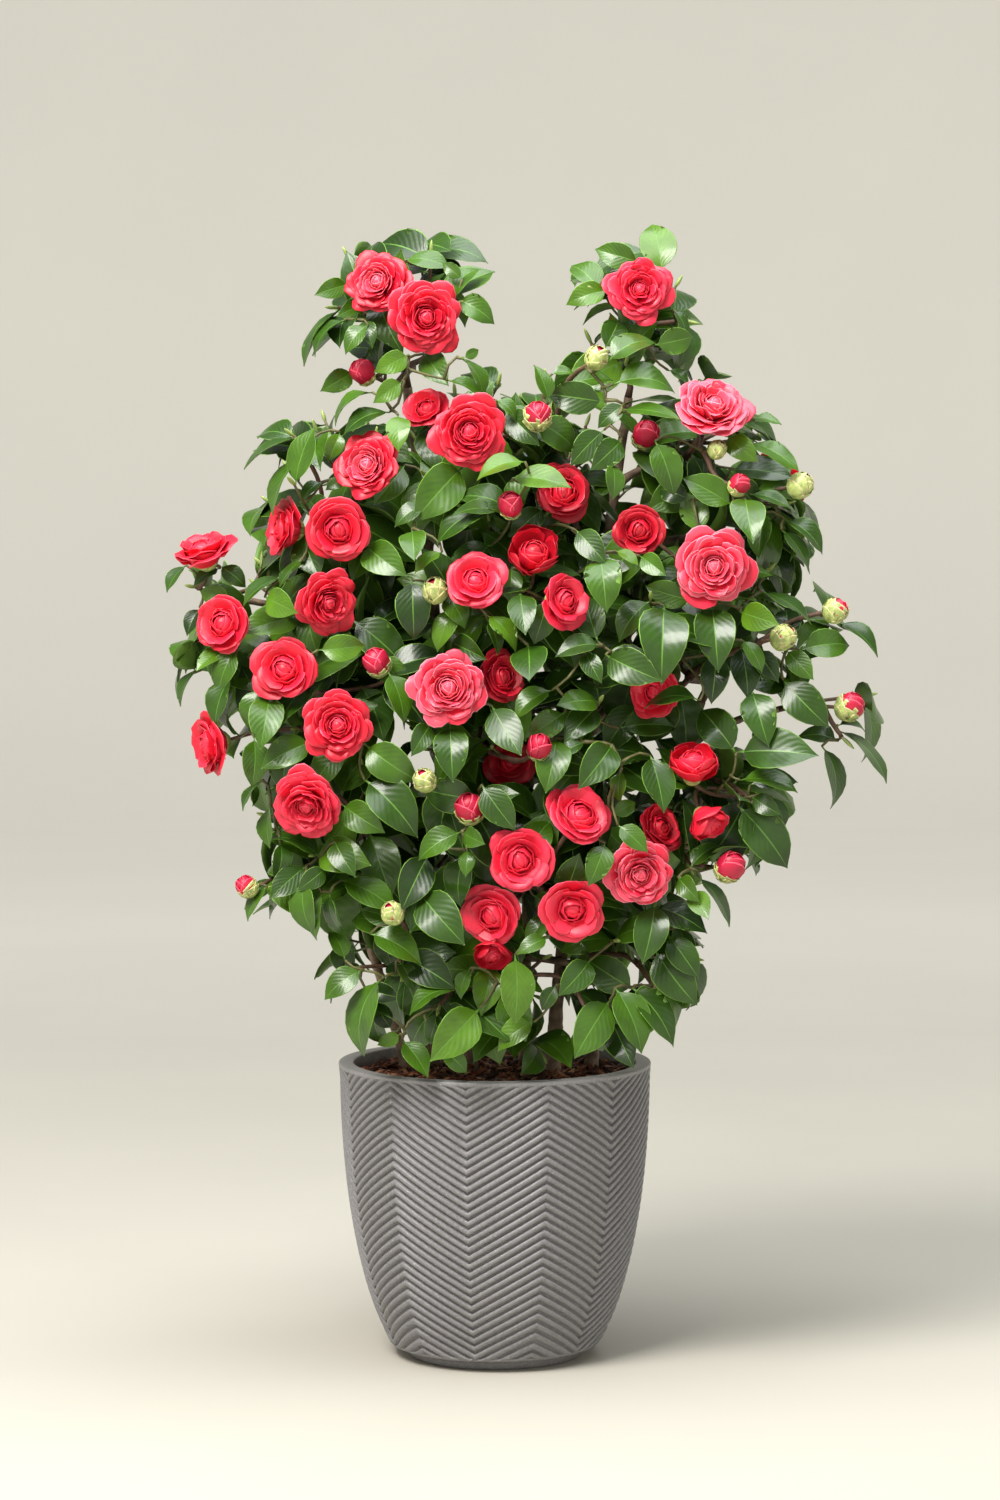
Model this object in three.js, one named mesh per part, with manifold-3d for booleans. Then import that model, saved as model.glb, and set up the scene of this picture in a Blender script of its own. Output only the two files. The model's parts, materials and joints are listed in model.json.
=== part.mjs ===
// A camellia shrub in flower, growing in a round planter.
// Millimetres, +Z up. The origin is the centre of the planter's flat underside; its front faces -Y.
import * as THREE from 'three';
import { mergeVertices } from 'three/addons/utils/BufferGeometryUtils.js';
import Module from 'manifold-3d';

const wasm = await Module();
wasm.setup();

// Clearance between solids that touch in the real plant
const GAP = 0.35;
// Points this close are one point, and shorter edges than this are closed up
const SAME_POINT = 1e-4;
const SHORTEST_EDGE = 0.02;
const TINY = 1e-9;

// Planter: the wall swells from a small foot to the rim
const POT_HEIGHT = 294.5;
const FOOT_RADIUS = 88;
const FOOT_HEIGHT = 12;
const WALL_FOOT_RADIUS = 90;
const WALL_SWELL = 66;
const WALL_STEEPENING = 2.1;
const WALL_ROUNDNESS = 0.61;
const WALL_THICKNESS = 15;
const FLOOR_Z = 26;
const FLOOR_CORNER = 20;
const RIM_ROUND = 2;
const POT_SIDES = 26;
const WALL_LEVELS = [FOOT_HEIGHT, 28, 55, 95, 150, 220];
const INNER_LEVELS = [190, 95, 46];

// Bark mulch on the soil, with a flat top where the stems stand
const SOIL_EDGE_Z = 279;
const SOIL_EDGE_GAP = 0.85;
const SOIL_TOP_Z = 283;
const SOIL_TOP_RADIUS = 112;

// Crown: its half depth shrinks from the middle to the outline
const CROWN_CENTRE_X = 20;
const CROWN_CENTRE_Z = 650;
const CROWN_HALF_WIDTH = 380;
const CROWN_HALF_HEIGHT = 480;
const CROWN_RIM_DEPTH = 60;
const CROWN_SWELL_DEPTH = 150;
const CROWN_FLOOR_Z = 303;

// Stems: name, foot [x, y], a point halfway up, tip, radius at the foot and at the tip, mass at the tip
const STEMS = [
  ['stem_left', [-87, 12], [-130, 0, 430], [-180, -35, 610], 5.2, 4.2, 'left_middle'],
  ['stem_left_inner', [-60, 34], [-118, 12, 520], [-158, -15, 775], 5.6, 4.2, 'left_shoulder'],
  ['stem_tall', [-26, 22], [-50, 16, 640], [-86, -8, 965], 7.2, 4.4, 'top_left'],
  ['stem_centre', [56, -12], [88, 8, 610], [132, -4, 955], 7.6, 4.4, 'top_right'],
  ['stem_back', [30, 44], [34, 62, 550], [40, 78, 800], 6.0, 4.2, 'back_top'],
  ['stem_right', [96, 22], [132, 14, 450], [205, -14, 655], 5.6, 4.2, 'right_middle'],
];
// Root flare: height above the soil, and how many times wider the stem is there
const ROOT_FLARE = [[-14, 2.6], [0, 2], [10, 1.4], [28, 1.1]];
const STEM_STEPS = 5;
const STEM_SIDES = 6;

// Boughs: how far up a stem they may start, and how they bend and taper
const BOUGH_STARTS = [0.28, 0.36, 0.44, 0.52, 0.6, 0.68, 0.76, 0.84, 0.92];
const BOUGH_STEPS = 3;
const BOUGH_SIDES = 4;
const BOUGH_BEND = 0.12;
const BOUGH_SHARE = 0.78;
const BOUGH_BASE_RADIUS = 5.4;
const BOUGH_TIP_RADIUS = 3.2;
const BOUGH_SLANT_WORTH = 1.5;
const BOUGH_FLOWER_MARGIN = 9;
// A bough ends this share of the way from its mass's middle to the mass's edge
const ENTRY_SHARE = 0.62;
const ENTRY_STEP = 4;
const ENTRY_MARGIN = 6;

// Masses of foliage: name, centre [x, y, z], half sizes [x, y, z]
const MASSES = [
  ['top_left', [-85, -45, 1035], [95, 115, 88]],
  ['top_right', [132, -25, 1035], [76, 105, 82]],
  ['left_shoulder', [-155, -70, 868], [112, 140, 105]],
  ['upper_centre', [-30, -75, 905], [92, 140, 80]],
  ['middle_top', [66, -50, 905], [74, 125, 76]],
  ['right_shoulder', [212, -45, 910], [88, 125, 90]],
  ['left_arm', [-262, -65, 765], [78, 110, 110]],
  ['left_middle', [-190, -90, 690], [112, 140, 100]],
  ['centre', [25, -105, 785], [95, 125, 85]],
  ['right_middle', [185, -100, 745], [105, 130, 110]],
  ['right_high', [258, -5, 840], [74, 115, 86]],
  ['middle', [-25, -110, 645], [100, 125, 90]],
  ['inner_right', [100, -95, 645], [78, 112, 80]],
  ['right_arm', [322, -35, 668], [82, 108, 100]],
  ['left_lower', [-168, -70, 535], [92, 135, 108]],
  ['low_centre', [35, -100, 495], [92, 125, 90]],
  ['right_lower', [215, -60, 555], [82, 130, 90]],
  ['low_left', [-102, -60, 405], [82, 110, 95]],
  ['low_front', [18, -95, 372], [85, 105, 72]],
  ['low_right', [130, -60, 405], [80, 125, 98]],
  ['back_top', [30, 105, 875], [135, 110, 100]],
  ['back_left', [-180, 105, 740], [120, 112, 128]],
  ['back_right', [195, 105, 745], [118, 112, 128]],
  ['back_middle', [15, 150, 680], [115, 95, 115]],
  ['back_low_left', [-102, 100, 490], [112, 115, 128]],
  ['back_low_right', [110, 100, 490], [112, 115, 128]],
];
const FIRST_SEED = 101;
const SEED_STEP = 37;

// Blooms seen from the front: kind, x, z, radius, yaw (+ turns right), pitch (+ looks up), set back
const BLOOMS = [
  ['full', -111, 1063, 36, -15, 15, 0],
  ['full', -66, 1028, 41, 8, 0, 8],
  ['full', -24, 918, 42, 0, 0, 0],
  ['open', -66, 942, 28, -15, 35, 60],
  ['full', -120, 887, 37, -22, 20, 0],
  ['open', -148, 826, 36, -5, -5, 6],
  ['open', -203, 828, 33, -65, 10, 20],
  ['open', -280, 808, 34, -30, 62, 0],
  ['open', -261, 737, 32, -20, 8, 0],
  ['full', -158, 757, 35, 20, -12, 10],
  ['open', -200, 694, 35, -12, 5, 0],
  ['full', -148, 641, 38, 0, 0, 0],
  ['open', -275, 620, 33, -60, -8, 10],
  ['full', -178, 566, 42, -15, -22, 0],
  ['open', -18, 779, 33, -5, 20, 0],
  ['cup', 37, 803, 28, 0, 35, 14],
  ['open', 67, 760, 33, 45, 8, 6],
  ['open', 66, 862, 32, 20, 12, 40],
  ['full', -43, 677, 42, 0, 5, 0],
  ['open', 8, 686, 30, 35, 10, 46],
  ['open', 15, 601, 28, 0, 5, 100],
  ['open', 24, 514, 35, 0, 5, 0],
  ['open', 81, 557, 37, 25, 30, 0],
  ['open', -3, 458, 33, -20, -10, 22],
  ['open', 74, 466, 36, 8, -15, 0],
  ['cup', -2, 420, 20, -8, -40, 30],
  ['full', 138, 500, 37, 10, 0, 0],
  ['open', 160, 540, 29, 40, 25, 50],
  ['full', 208, 790, 44, 5, 5, 0],
  ['open', 137, 826, 29, -8, -8, 10],
  ['open', 153, 670, 28, -20, 8, 50],
  ['cup', 189, 604, 27, 8, 60, 10],
  ['cup', 203, 548, 22, 45, -40, 0],
  ['full', 208, 942, 44, 8, 42, 0],
  ['full', 139, 1055, 36, 5, 5, 0],
];

// Buds seen from the front: x, z, radius, set back
const BUDS = [
  [-128, 978, 12, 50],
  [146, 918, 13, 70],
  [97, 989, 10, 0],
  [15, 850, 12, 0],
  [41, 934, 13, 0],
  [-56, 769, 11, 10],
  [-112, 701, 13, 20],
  [-66, 590, 10, 0],
  [-24, 563, 14, 10],
  [42, 622, 12, 0],
  [180, 640, 11, 40],
  [342, 657, 13, 0],
  [327, 749, 11, 0],
  [275, 724, 11, 0],
  [225, 506, 14, 0],
  [293, 868, 11, 0],
  [233, 869, 10, 0],
  [-238, 485, 10, 0],
  [-97, 462, 10, 0],
];

// Leafy shoot ends seen from the front: x, z, set back, yaw, pitch
const SPRAYS = [
  [-62, 1088, 30, 15, 75],
  [-42, 1042, 30, 70, 10],
  [-152, 1040, 30, -70, 0],
  [-192, 915, 20, -60, 35],
  [152, 1098, 30, 10, 75],
  [92, 1058, 20, -65, 15],
  [188, 1028, 30, 70, -10],
  [48, 968, 20, 0, 70],
  [258, 935, 20, 60, 5],
  [283, 850, 20, 70, 10],
  [335, 625, 10, 60, -40],
  [252, 560, 20, 50, -20],
  [196, 450, 20, 40, -20],
  [160, 378, 20, 30, -35],
  [88, 366, 20, 5, -40],
  [8, 385, 20, 0, -50],
  [-56, 366, 20, -15, -40],
  [-150, 405, 20, -50, -10],
  [-222, 478, 20, -60, -5],
  [-296, 686, 20, -60, -30],
  [-292, 772, 20, -60, 10],
];

// Flower shapes, all as shares of the radius: how far forward the petal tips reach, how high the
// middle stands, how deep the base is, how far the notches between petals cut in, and half the
// depth of the room that the flower keeps to itself
const FLOWER_SHAPES = {
  full: { lip: 0.02, crown: 0.34, base: 0.5, notch: 0.14, room: 0.62 },
  open: { lip: 0.22, crown: 0.18, base: 0.56, notch: 0.2, room: 0.62 },
  cup: { lip: 0.55, crown: 0.7, base: 0.85, notch: 0.12, room: 1.1 },
  bud: { base: 1, room: 1.1 },
};
const PETAL_POINTS = 10;
const BASE_SUNK = 0.1;
// Bud profile, [radius, height] as shares of its radius
const BUD_PROFILE = [[0, -1.1], [1, -0.2], [0.72, 0.8], [0, 1.5]];
const BUD_SIDES = 4;
const BUD_OUTWARD_RISE = 60;
const FUSED_BUD_RADIUS = 12;
const BACK_BLOOM_EVERY = 3;
const BACK_BLOOM_RADIUS = 36;
const BACK_BLOOM_ROOM = 8;
const BACK_BLOOMS_FROM_Y = 20;

// Clearances that growth keeps to walls between masses, to wood and to flowers
const LEAF_WALL_MARGIN = 1.2;
const SHOOT_WALL_MARGIN = 5;
const TARGET_WALL_MARGIN = 3;
const TOUCH_MARGIN = 2.5;
const FLOWER_MARGIN = 2;
const BRUSH_MARGIN = 1;

// Shoots: where they end, how they bend, and how they fork
const STEM_LENGTH = 16;
const SHORTEST_SHOOT = 26;
const TIP_RADIUS = 2.3;
const TWIG_ALLOWANCE = 1.3;
const TWIG_THICKENING = 0.3;
const SUNK_END_RADIUS = 1.1;
const TWIG_SIDES = 3;
const SHELL_TRIES = 260;
const SHELL_SHARE = 0.6;
const SHOOTS_SPACING = 86;
const OUTWARD_FLATTENING = 0.6;
const OUTWARD_RISE = 90;
const RADIAL_PULL = 0.5;
const STRAIGHTNESSES = [0.5, 0.3, 0.12];
const BEND_SHARE = 0.25;
const BEND_BEYOND = 125;
const FORK_SHARES = [0.25, 0.5, 0.75];
const FORK_CLEARANCE = 14;
const FORKS_APART = 9;
const TURNING_COST = 0.3;
const DETOUR_COST = 0.5;
const LINE_CHECKS = [0, 0.25, 0.5, 0.75];

// Leaves: fewer and larger than life, each an eight-faced blade
const LEAF_LENGTH = 104;
const LEAF_WIDTH = 60;
const LEAF_THICKNESS = 3;
const LEAF_ARCH = 0.07;
const LEAF_WIDEST_AT = 0.5;
const LEAF_HIGHEST_AT = 0.46;
const LEAF_TIP_DROP = 0.6;
const LEAF_FORWARD = 0.52;
const LEAF_OUTWARD = 0.85;
const LEAF_DROOP = 0.22;
const FACE_FORWARD = 0.8;
const FACE_UP = 0.7;
const LEAF_SPACING = 16;
const LEAF_FROM_TIP = 4;
const LEAF_FROM_FORK = 6;
const LEAF_APART = 27;
const LEAF_NEIGHBOUR = 1.1;
const LEAF_REACH = 1.15;
const LEAF_TRIES = 10;
const LEAF_TRY_TURN = 1.05;
const SMALL_LEAF = 0.8;
const SHOOT_TURN = 1.7;
const GOLDEN_ANGLE = THREE.MathUtils.degToRad(137.5);
const LEAF_CHECKS = [0.2, 0.4, 0.6, 0.8, 1];
const LEAF_SINK = 0.8;
const ROOT_DEPTHS = [1, 1.13, 0.9, 1.27, 0.8, 1.4];
// Corners are compared on a grid of this many steps to the millimetre
const SOUND_GRID = 500;

const UP = new THREE.Vector3(0, 0, 1);
const SPIRAL_REFERENCE = new THREE.Vector3(0.3, 0.2, 1).normalize();

// Vectors
function vector(values) {
  return new THREE.Vector3(values[0], values[1], values[2]);
}

function along(from, direction, distance) {
  return from.clone().addScaledVector(direction, distance);
}

function between(from, to, share) {
  return from.clone().lerp(to, share);
}

function directionTo(from, to) {
  return to.clone().sub(from).normalize();
}

// Two directions square to an axis and to each other
function crossDirections(axis, reference) {
  const side = new THREE.Vector3().crossVectors(axis, reference);
  if (side.length() < 1e-3) side.crossVectors(axis, new THREE.Vector3(1, 0, 0));
  side.normalize();
  return [side, new THREE.Vector3().crossVectors(side, axis)];
}

// Seeded random numbers from 0 to 1, by the multiplicative congruential rule
const RANDOM_FACTOR = 16807;
const RANDOM_RANGE = 2147483647;
const DRAWS_LEFT_OUT = 4;

function randomSource(seed) {
  let state = seed;
  const next = () => {
    state = (state * RANDOM_FACTOR) % RANDOM_RANGE;
    return state / RANDOM_RANGE;
  };
  for (let draw = 0; draw < DRAWS_LEFT_OUT; draw += 1) next();
  return next;
}

// Solids
function geometryOf(positions, triangles) {
  const geometry = new THREE.BufferGeometry();
  geometry.setAttribute('position', new THREE.Float32BufferAttribute(positions, 3));
  geometry.setIndex(triangles);
  return geometry;
}

function solidOf(source) {
  const bare = source.clone();
  bare.deleteAttribute('normal');
  bare.deleteAttribute('uv');
  const merged = mergeVertices(bare, SAME_POINT);
  const triVerts = [];
  for (let i = 0; i < merged.index.count; i += 3) {
    const [a, b, c] = [merged.index.getX(i), merged.index.getX(i + 1), merged.index.getX(i + 2)];
    if (a !== b && b !== c && a !== c) triVerts.push(a, b, c);
  }
  return new wasm.Manifold(new wasm.Mesh({
    numProp: 3,
    vertProperties: new Float32Array(merged.attributes.position.array),
    triVerts: new Uint32Array(triVerts),
  }));
}

// The largest body alone, with no edges too short to matter: loose scraps and the walls of sealed
// hollows are left out
function wholeOf(solid) {
  const bodies = solid.simplify(SHORTEST_EDGE).decompose();
  return bodies.reduce((best, body) => (body.volume() > best.volume() ? body : best));
}

function geometryFrom(solid) {
  const mesh = solid.getMesh();
  return geometryOf(mesh.vertProperties, Array.from(mesh.triVerts));
}

// A closed tube with flat ends along a line of points, with a radius at each point
function tubeGeometry(points, radii, sides) {
  const main = directionTo(points[0], points[points.length - 1]);
  const reference = Math.abs(main.x) < 0.7 ? new THREE.Vector3(1, 0, 0) : new THREE.Vector3(0, 1, 0);
  const positions = [];
  const triangles = [];
  points.forEach((point, ring) => {
    const before = points[Math.max(ring - 1, 0)];
    const after = points[Math.min(ring + 1, points.length - 1)];
    const [side, other] = crossDirections(directionTo(before, after), reference);
    for (let corner = 0; corner < sides; corner += 1) {
      const angle = (corner / sides) * Math.PI * 2;
      const place = along(point, side, Math.cos(angle) * radii[ring])
        .addScaledVector(other, Math.sin(angle) * radii[ring]);
      positions.push(place.x, place.y, place.z);
      const next = (corner + 1) % sides;
      if (ring > 0) {
        const low = (ring - 1) * sides;
        const high = ring * sides;
        triangles.push(low + corner, high + corner, high + next, low + corner, high + next, low + next);
      }
    }
  });
  const last = (points.length - 1) * sides;
  for (let corner = 1; corner + 1 < sides; corner += 1) {
    triangles.push(0, corner, corner + 1, last, last + corner + 1, last + corner);
  }
  return geometryOf(positions, triangles);
}

// Planter
function wallRadius(z) {
  const share = Math.min(Math.max(z / POT_HEIGHT, 0), 1);
  return WALL_FOOT_RADIUS + WALL_SWELL * (1 - (1 - share) ** WALL_STEEPENING) ** WALL_ROUNDNESS;
}

function innerRadius(z) {
  return wallRadius(z) - WALL_THICKNESS;
}

// A profile of [radius, z] points turned round the Z axis
function turned(profile, sides) {
  const points = profile.map(([radius, z]) => new THREE.Vector2(radius, z));
  return new THREE.LatheGeometry(points, sides).rotateX(Math.PI / 2);
}

function potSolid() {
  const outerTop = wallRadius(POT_HEIGHT);
  const innerTop = innerRadius(POT_HEIGHT);
  return solidOf(turned([
    [0, 0],
    [FOOT_RADIUS, 0],
    [FOOT_RADIUS, FOOT_HEIGHT],
    ...WALL_LEVELS.map((z) => [wallRadius(z), z]),
    [outerTop, POT_HEIGHT - RIM_ROUND],
    [outerTop - RIM_ROUND, POT_HEIGHT],
    [innerTop + RIM_ROUND, POT_HEIGHT],
    [innerTop, POT_HEIGHT - RIM_ROUND],
    ...INNER_LEVELS.map((z) => [innerRadius(z), z]),
    [innerRadius(FLOOR_Z) - FLOOR_CORNER, FLOOR_Z],
    [0, FLOOR_Z],
  ], POT_SIDES));
}

function soilSolid() {
  const levels = [...INNER_LEVELS].reverse();
  return solidOf(turned([
    [0, FLOOR_Z + GAP],
    [innerRadius(FLOOR_Z) - FLOOR_CORNER - GAP, FLOOR_Z + GAP],
    ...levels.map((z) => [innerRadius(z) - GAP, z + GAP]),
    [innerRadius(SOIL_EDGE_Z) - SOIL_EDGE_GAP, SOIL_EDGE_Z],
    [SOIL_TOP_RADIUS, SOIL_TOP_Z],
    [0, SOIL_TOP_Z],
  ], POT_SIDES));
}

// Limbs: each has points on its bend and a radius at each point
function bend(start, middle, end, steps) {
  const control = middle.clone().multiplyScalar(2).addScaledVector(start, -0.5).addScaledVector(end, -0.5);
  return new THREE.QuadraticBezierCurve3(start, control, end).getPoints(steps);
}

function taper(from, to, count) {
  return Array.from({ length: count }, (_, step) => from + ((to - from) * step) / (count - 1));
}

function stemLimb([name, foot, middle, tip, footRadius, tipRadius]) {
  const start = new THREE.Vector3(foot[0], foot[1], SOIL_TOP_Z + GAP);
  const line = bend(start, vector(middle), vector(tip), STEM_STEPS);
  const rise = directionTo(start, line[1]);
  const flare = ROOT_FLARE.map(([height]) => along(start, rise, height / rise.z));
  const points = [...flare, ...line.slice(1)];
  const radii = taper(footRadius, tipRadius, points.length);
  ROOT_FLARE.forEach(([, share], ring) => { radii[ring] *= share; });
  return { name, points, radii, sides: STEM_SIDES };
}

function segmentsOf(limb) {
  return limb.points.slice(1).map((end, index) => ({
    start: limb.points[index],
    end,
    radius: Math.max(limb.radii[index], limb.radii[index + 1]),
  }));
}

// Shortest distance between two straight segments
function segmentDistance(a, b, c, d) {
  const first = b.clone().sub(a);
  const second = d.clone().sub(c);
  const offset = a.clone().sub(c);
  const firstSquare = first.dot(first);
  const secondSquare = second.dot(second);
  const mixed = first.dot(second);
  const firstOffset = first.dot(offset);
  const secondOffset = second.dot(offset);
  const spread = firstSquare * secondSquare - mixed * mixed;
  const clamp = (value) => Math.min(Math.max(value, 0), 1);
  let s = spread > TINY ? clamp((mixed * secondOffset - firstOffset * secondSquare) / spread) : 0;
  const t = clamp((mixed * s + secondOffset) / secondSquare);
  s = clamp((mixed * t - firstOffset) / firstSquare);
  return along(a, first, s).distanceTo(along(c, second, t));
}

function clearOfSegments(start, end, radius, segments) {
  return segments.every((segment) => (
    segmentDistance(start, end, segment.start, segment.end) > radius + segment.radius + TOUCH_MARGIN
  ));
}

// Space of each mass: an ellipsoid, cut by flat walls where it meets its neighbours
const masses = MASSES.map(([name, centre, halfSizes]) => ({
  name,
  centre: vector(centre),
  half: vector(halfSizes),
  weight: ((halfSizes[0] + halfSizes[1] + halfSizes[2]) / 3) ** 2,
}));

function wallsClear(mass, point, margin) {
  const own = point.distanceToSquared(mass.centre) - mass.weight;
  return masses.every((other) => {
    if (other === mass) return true;
    const apart = 2 * mass.centre.distanceTo(other.centre);
    return (point.distanceToSquared(other.centre) - other.weight - own) / apart > margin;
  });
}

function reachOf(mass, point) {
  return point.clone().sub(mass.centre).divide(mass.half).length();
}

function inSpace(mass, point, margin) {
  return point.z > CROWN_FLOOR_Z && wallsClear(mass, point, margin);
}

function inCrown(mass, point, margin) {
  return reachOf(mass, point) < LEAF_REACH && inSpace(mass, point, margin);
}

function massAt(point) {
  return masses.find((mass) => wallsClear(mass, point, 0));
}

// Boughs: each takes the cheapest clear way from a stem to its mass, leaving the stem at a slant
function entryPoint(mass, from) {
  const direction = directionTo(mass.centre, from);
  const furthest = mass.centre.distanceTo(from);
  let reach = ENTRY_STEP;
  while (reach < furthest && inCrown(mass, along(mass.centre, direction, reach), ENTRY_MARGIN)) {
    reach += ENTRY_STEP;
  }
  return along(mass.centre, direction, (reach - ENTRY_STEP) * ENTRY_SHARE);
}

function boughLimb(stem, share, mass) {
  const position = share * (stem.points.length - 1);
  const index = Math.floor(position);
  const start = between(stem.points[index], stem.points[index + 1], position - index);
  const stemDirection = directionTo(stem.points[index], stem.points[index + 1]);
  const end = entryPoint(mass, start);
  const length = start.distanceTo(end);
  const middle = between(start, end, 0.5)
    .addScaledVector(stemDirection.clone().sub(directionTo(start, end)), length * BOUGH_BEND);
  const radius = BOUGH_SHARE * (stem.radii[index] + stem.radii[index + 1]) * 0.5;
  const baseRadius = Math.min(radius, BOUGH_BASE_RADIUS);
  const tipRadius = Math.min(radius, BOUGH_TIP_RADIUS);
  const slant = stemDirection.dot(directionTo(start, end));
  const points = bend(start, middle, end, BOUGH_STEPS);
  return {
    name: `bough_${mass.name}`,
    parent: stem,
    points,
    radii: taper(baseRadius, tipRadius, points.length),
    sides: BOUGH_SIDES,
    cost: length * (BOUGH_SLANT_WORTH - slant),
  };
}

// The limb with the first stretch of its mass's stem, which goes straight on from its tip
function reachedBy(limb) {
  const [before, tip] = limb.points.slice(-2);
  const end = along(tip, directionTo(before, tip), STEM_LENGTH);
  return [...segmentsOf(limb), { start: tip, end, radius: BOUGH_TIP_RADIUS }];
}

function limbsClear(limb, others) {
  const own = reachedBy(limb);
  return others.every((other) => {
    const checked = other === limb.parent ? own.slice(1) : own;
    return checked.every((part) => clearOfSegments(part.start, part.end, part.radius, reachedBy(other)));
  });
}

function growLimbs(flowers) {
  const stems = STEMS.map(stemLimb);
  const limbs = [...stems];
  STEMS.forEach((stem, index) => {
    masses.find((mass) => mass.name === stem[6]).limb = stems[index];
  });
  masses.filter((mass) => !mass.limb).forEach((mass) => {
    const ways = stems.flatMap((stem) => BOUGH_STARTS.map((share) => boughLimb(stem, share, mass)));
    ways.sort((a, b) => a.cost - b.cost);
    mass.limb = ways.find((way) => (
      limbsClear(way, limbs) && clearOfFlowers(way.points.slice(1), flowers, BOUGH_FLOWER_MARGIN)
    ));
    limbs.push(mass.limb);
  });
  return limbs;
}

// A block that fills the room under the stems' flat cut
function belowSoilTop() {
  const size = SOIL_TOP_RADIUS * 3;
  return new THREE.BoxGeometry(size, size, size).translate(0, 0, SOIL_TOP_Z + GAP - size / 2);
}

function limbSolid(limb) {
  const solid = solidOf(tubeGeometry(limb.points, limb.radii, limb.sides));
  if (!limb.parent) return solid.subtract(solidOf(belowSoilTop()));
  const parent = limb.parent;
  const widened = parent.radii.map((radius) => radius + GAP);
  return wholeOf(solid.subtract(solidOf(tubeGeometry(parent.points, widened, parent.sides))));
}

// Flowers and buds
function facing(yaw, pitch) {
  const turn = THREE.MathUtils.degToRad(yaw);
  const tilt = THREE.MathUtils.degToRad(pitch);
  return new THREE.Vector3(Math.sin(turn) * Math.cos(tilt), -Math.cos(turn) * Math.cos(tilt), Math.sin(tilt));
}

function crownFront(x, z) {
  const across = ((x - CROWN_CENTRE_X) / CROWN_HALF_WIDTH) ** 2;
  const upward = ((z - CROWN_CENTRE_Z) / CROWN_HALF_HEIGHT) ** 2;
  return -(CROWN_RIM_DEPTH + CROWN_SWELL_DEPTH * Math.sqrt(Math.max(0, 1 - across - upward)));
}

function seenBlooms() {
  return BLOOMS.map(([kind, x, z, radius, yaw, pitch, setBack]) => ({
    kind,
    radius,
    centre: new THREE.Vector3(x, crownFront(x, z) + setBack, z),
    direction: facing(yaw, pitch),
  }));
}

function seenBuds() {
  return BUDS.map(([x, z, radius, setBack]) => {
    const centre = new THREE.Vector3(x, crownFront(x, z) + setBack, z);
    const outward = new THREE.Vector3(x - CROWN_CENTRE_X, centre.y, BUD_OUTWARD_RISE).normalize();
    return { kind: 'bud', radius, centre, direction: outward };
  });
}

function seenSprays() {
  return SPRAYS.map(([x, z, setBack, yaw, pitch]) => (
    { point: new THREE.Vector3(x, crownFront(x, z) + setBack, z), direction: facing(yaw, pitch) }
  ));
}

// Turned so that the form's own Z axis looks along a direction
function placed(geometry, centre, direction) {
  const turn = new THREE.Quaternion().setFromUnitVectors(UP, direction);
  return geometry.applyMatrix4(new THREE.Matrix4().compose(centre, turn, new THREE.Vector3(1, 1, 1)));
}

function bloomSolid({ kind, radius, centre, direction }) {
  const shape = FLOWER_SHAPES[kind];
  const profile = [[0, -shape.base * radius], [radius, shape.lip * radius], [0, shape.crown * radius]];
  const geometry = turned(profile, PETAL_POINTS);
  const position = geometry.attributes.position;
  for (let i = 0; i < position.count; i += 1) {
    const [x, y] = [position.getX(i), position.getY(i)];
    const point = Math.round((Math.atan2(x, y) / (Math.PI * 2)) * PETAL_POINTS);
    const isNotch = Math.abs(point % 2) === 1 && Math.hypot(x, y) > radius * 0.9;
    const share = isNotch ? 1 - shape.notch : 1;
    position.setXY(i, x * share, y * share);
  }
  return solidOf(placed(geometry, centre, direction));
}

function budSolid({ radius, centre, direction }) {
  const profile = BUD_PROFILE.map(([across, height]) => [across * radius, height * radius]);
  return solidOf(placed(turned(profile, BUD_SIDES), centre, direction));
}

// Where a flower meets its shoot, a little inside its own form
function baseOf({ kind, radius, centre, direction }) {
  return along(centre, direction, -(FLOWER_SHAPES[kind].base - BASE_SUNK) * radius);
}

// A flower keeps a flattened ball of room to itself
function inFlower(point, flower, margin) {
  const offset = point.clone().sub(flower.centre);
  const depth = offset.dot(flower.direction);
  const across = Math.sqrt(Math.max(0, offset.lengthSq() - depth * depth));
  const halfDepth = FLOWER_SHAPES[flower.kind].room * flower.radius + margin;
  return (across / (flower.radius + margin)) ** 2 + (depth / halfDepth) ** 2 < 1;
}

function clearOfFlowers(points, flowers, margin) {
  return flowers.every((flower) => points.every((point) => !inFlower(point, flower, margin)));
}

// Growth inside one mass: a tree of shoots from the tip of its limb. Some shoots end in a flower,
// and the others at points spread out over a shell of the mass's space
function shellTips(mass, entry, random, taken) {
  const tips = [];
  for (let attempt = 0; attempt < SHELL_TRIES; attempt += 1) {
    const turn = random() * Math.PI * 2;
    const height = random() * 2 - 1;
    const level = Math.sqrt(1 - height * height);
    const radial = new THREE.Vector3(Math.cos(turn) * level, Math.sin(turn) * level, height);
    const point = radial.clone().multiply(mass.half).multiplyScalar(SHELL_SHARE).add(mass.centre);
    const others = [...taken, ...tips.map((tip) => tip.point)];
    const roomy = others.every((other) => other.distanceTo(point) > SHOOTS_SPACING);
    if (roomy && inCrown(mass, point, ENTRY_MARGIN)) {
      const rise = (point.z - CROWN_CENTRE_Z) * OUTWARD_FLATTENING + OUTWARD_RISE;
      const outward = new THREE.Vector3(point.x - CROWN_CENTRE_X, point.y, rise).normalize();
      const direction = outward.add(directionTo(entry, point)).addScaledVector(radial, RADIAL_PULL);
      tips.push({ point, direction: direction.normalize() });
    }
  }
  return tips;
}

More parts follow.
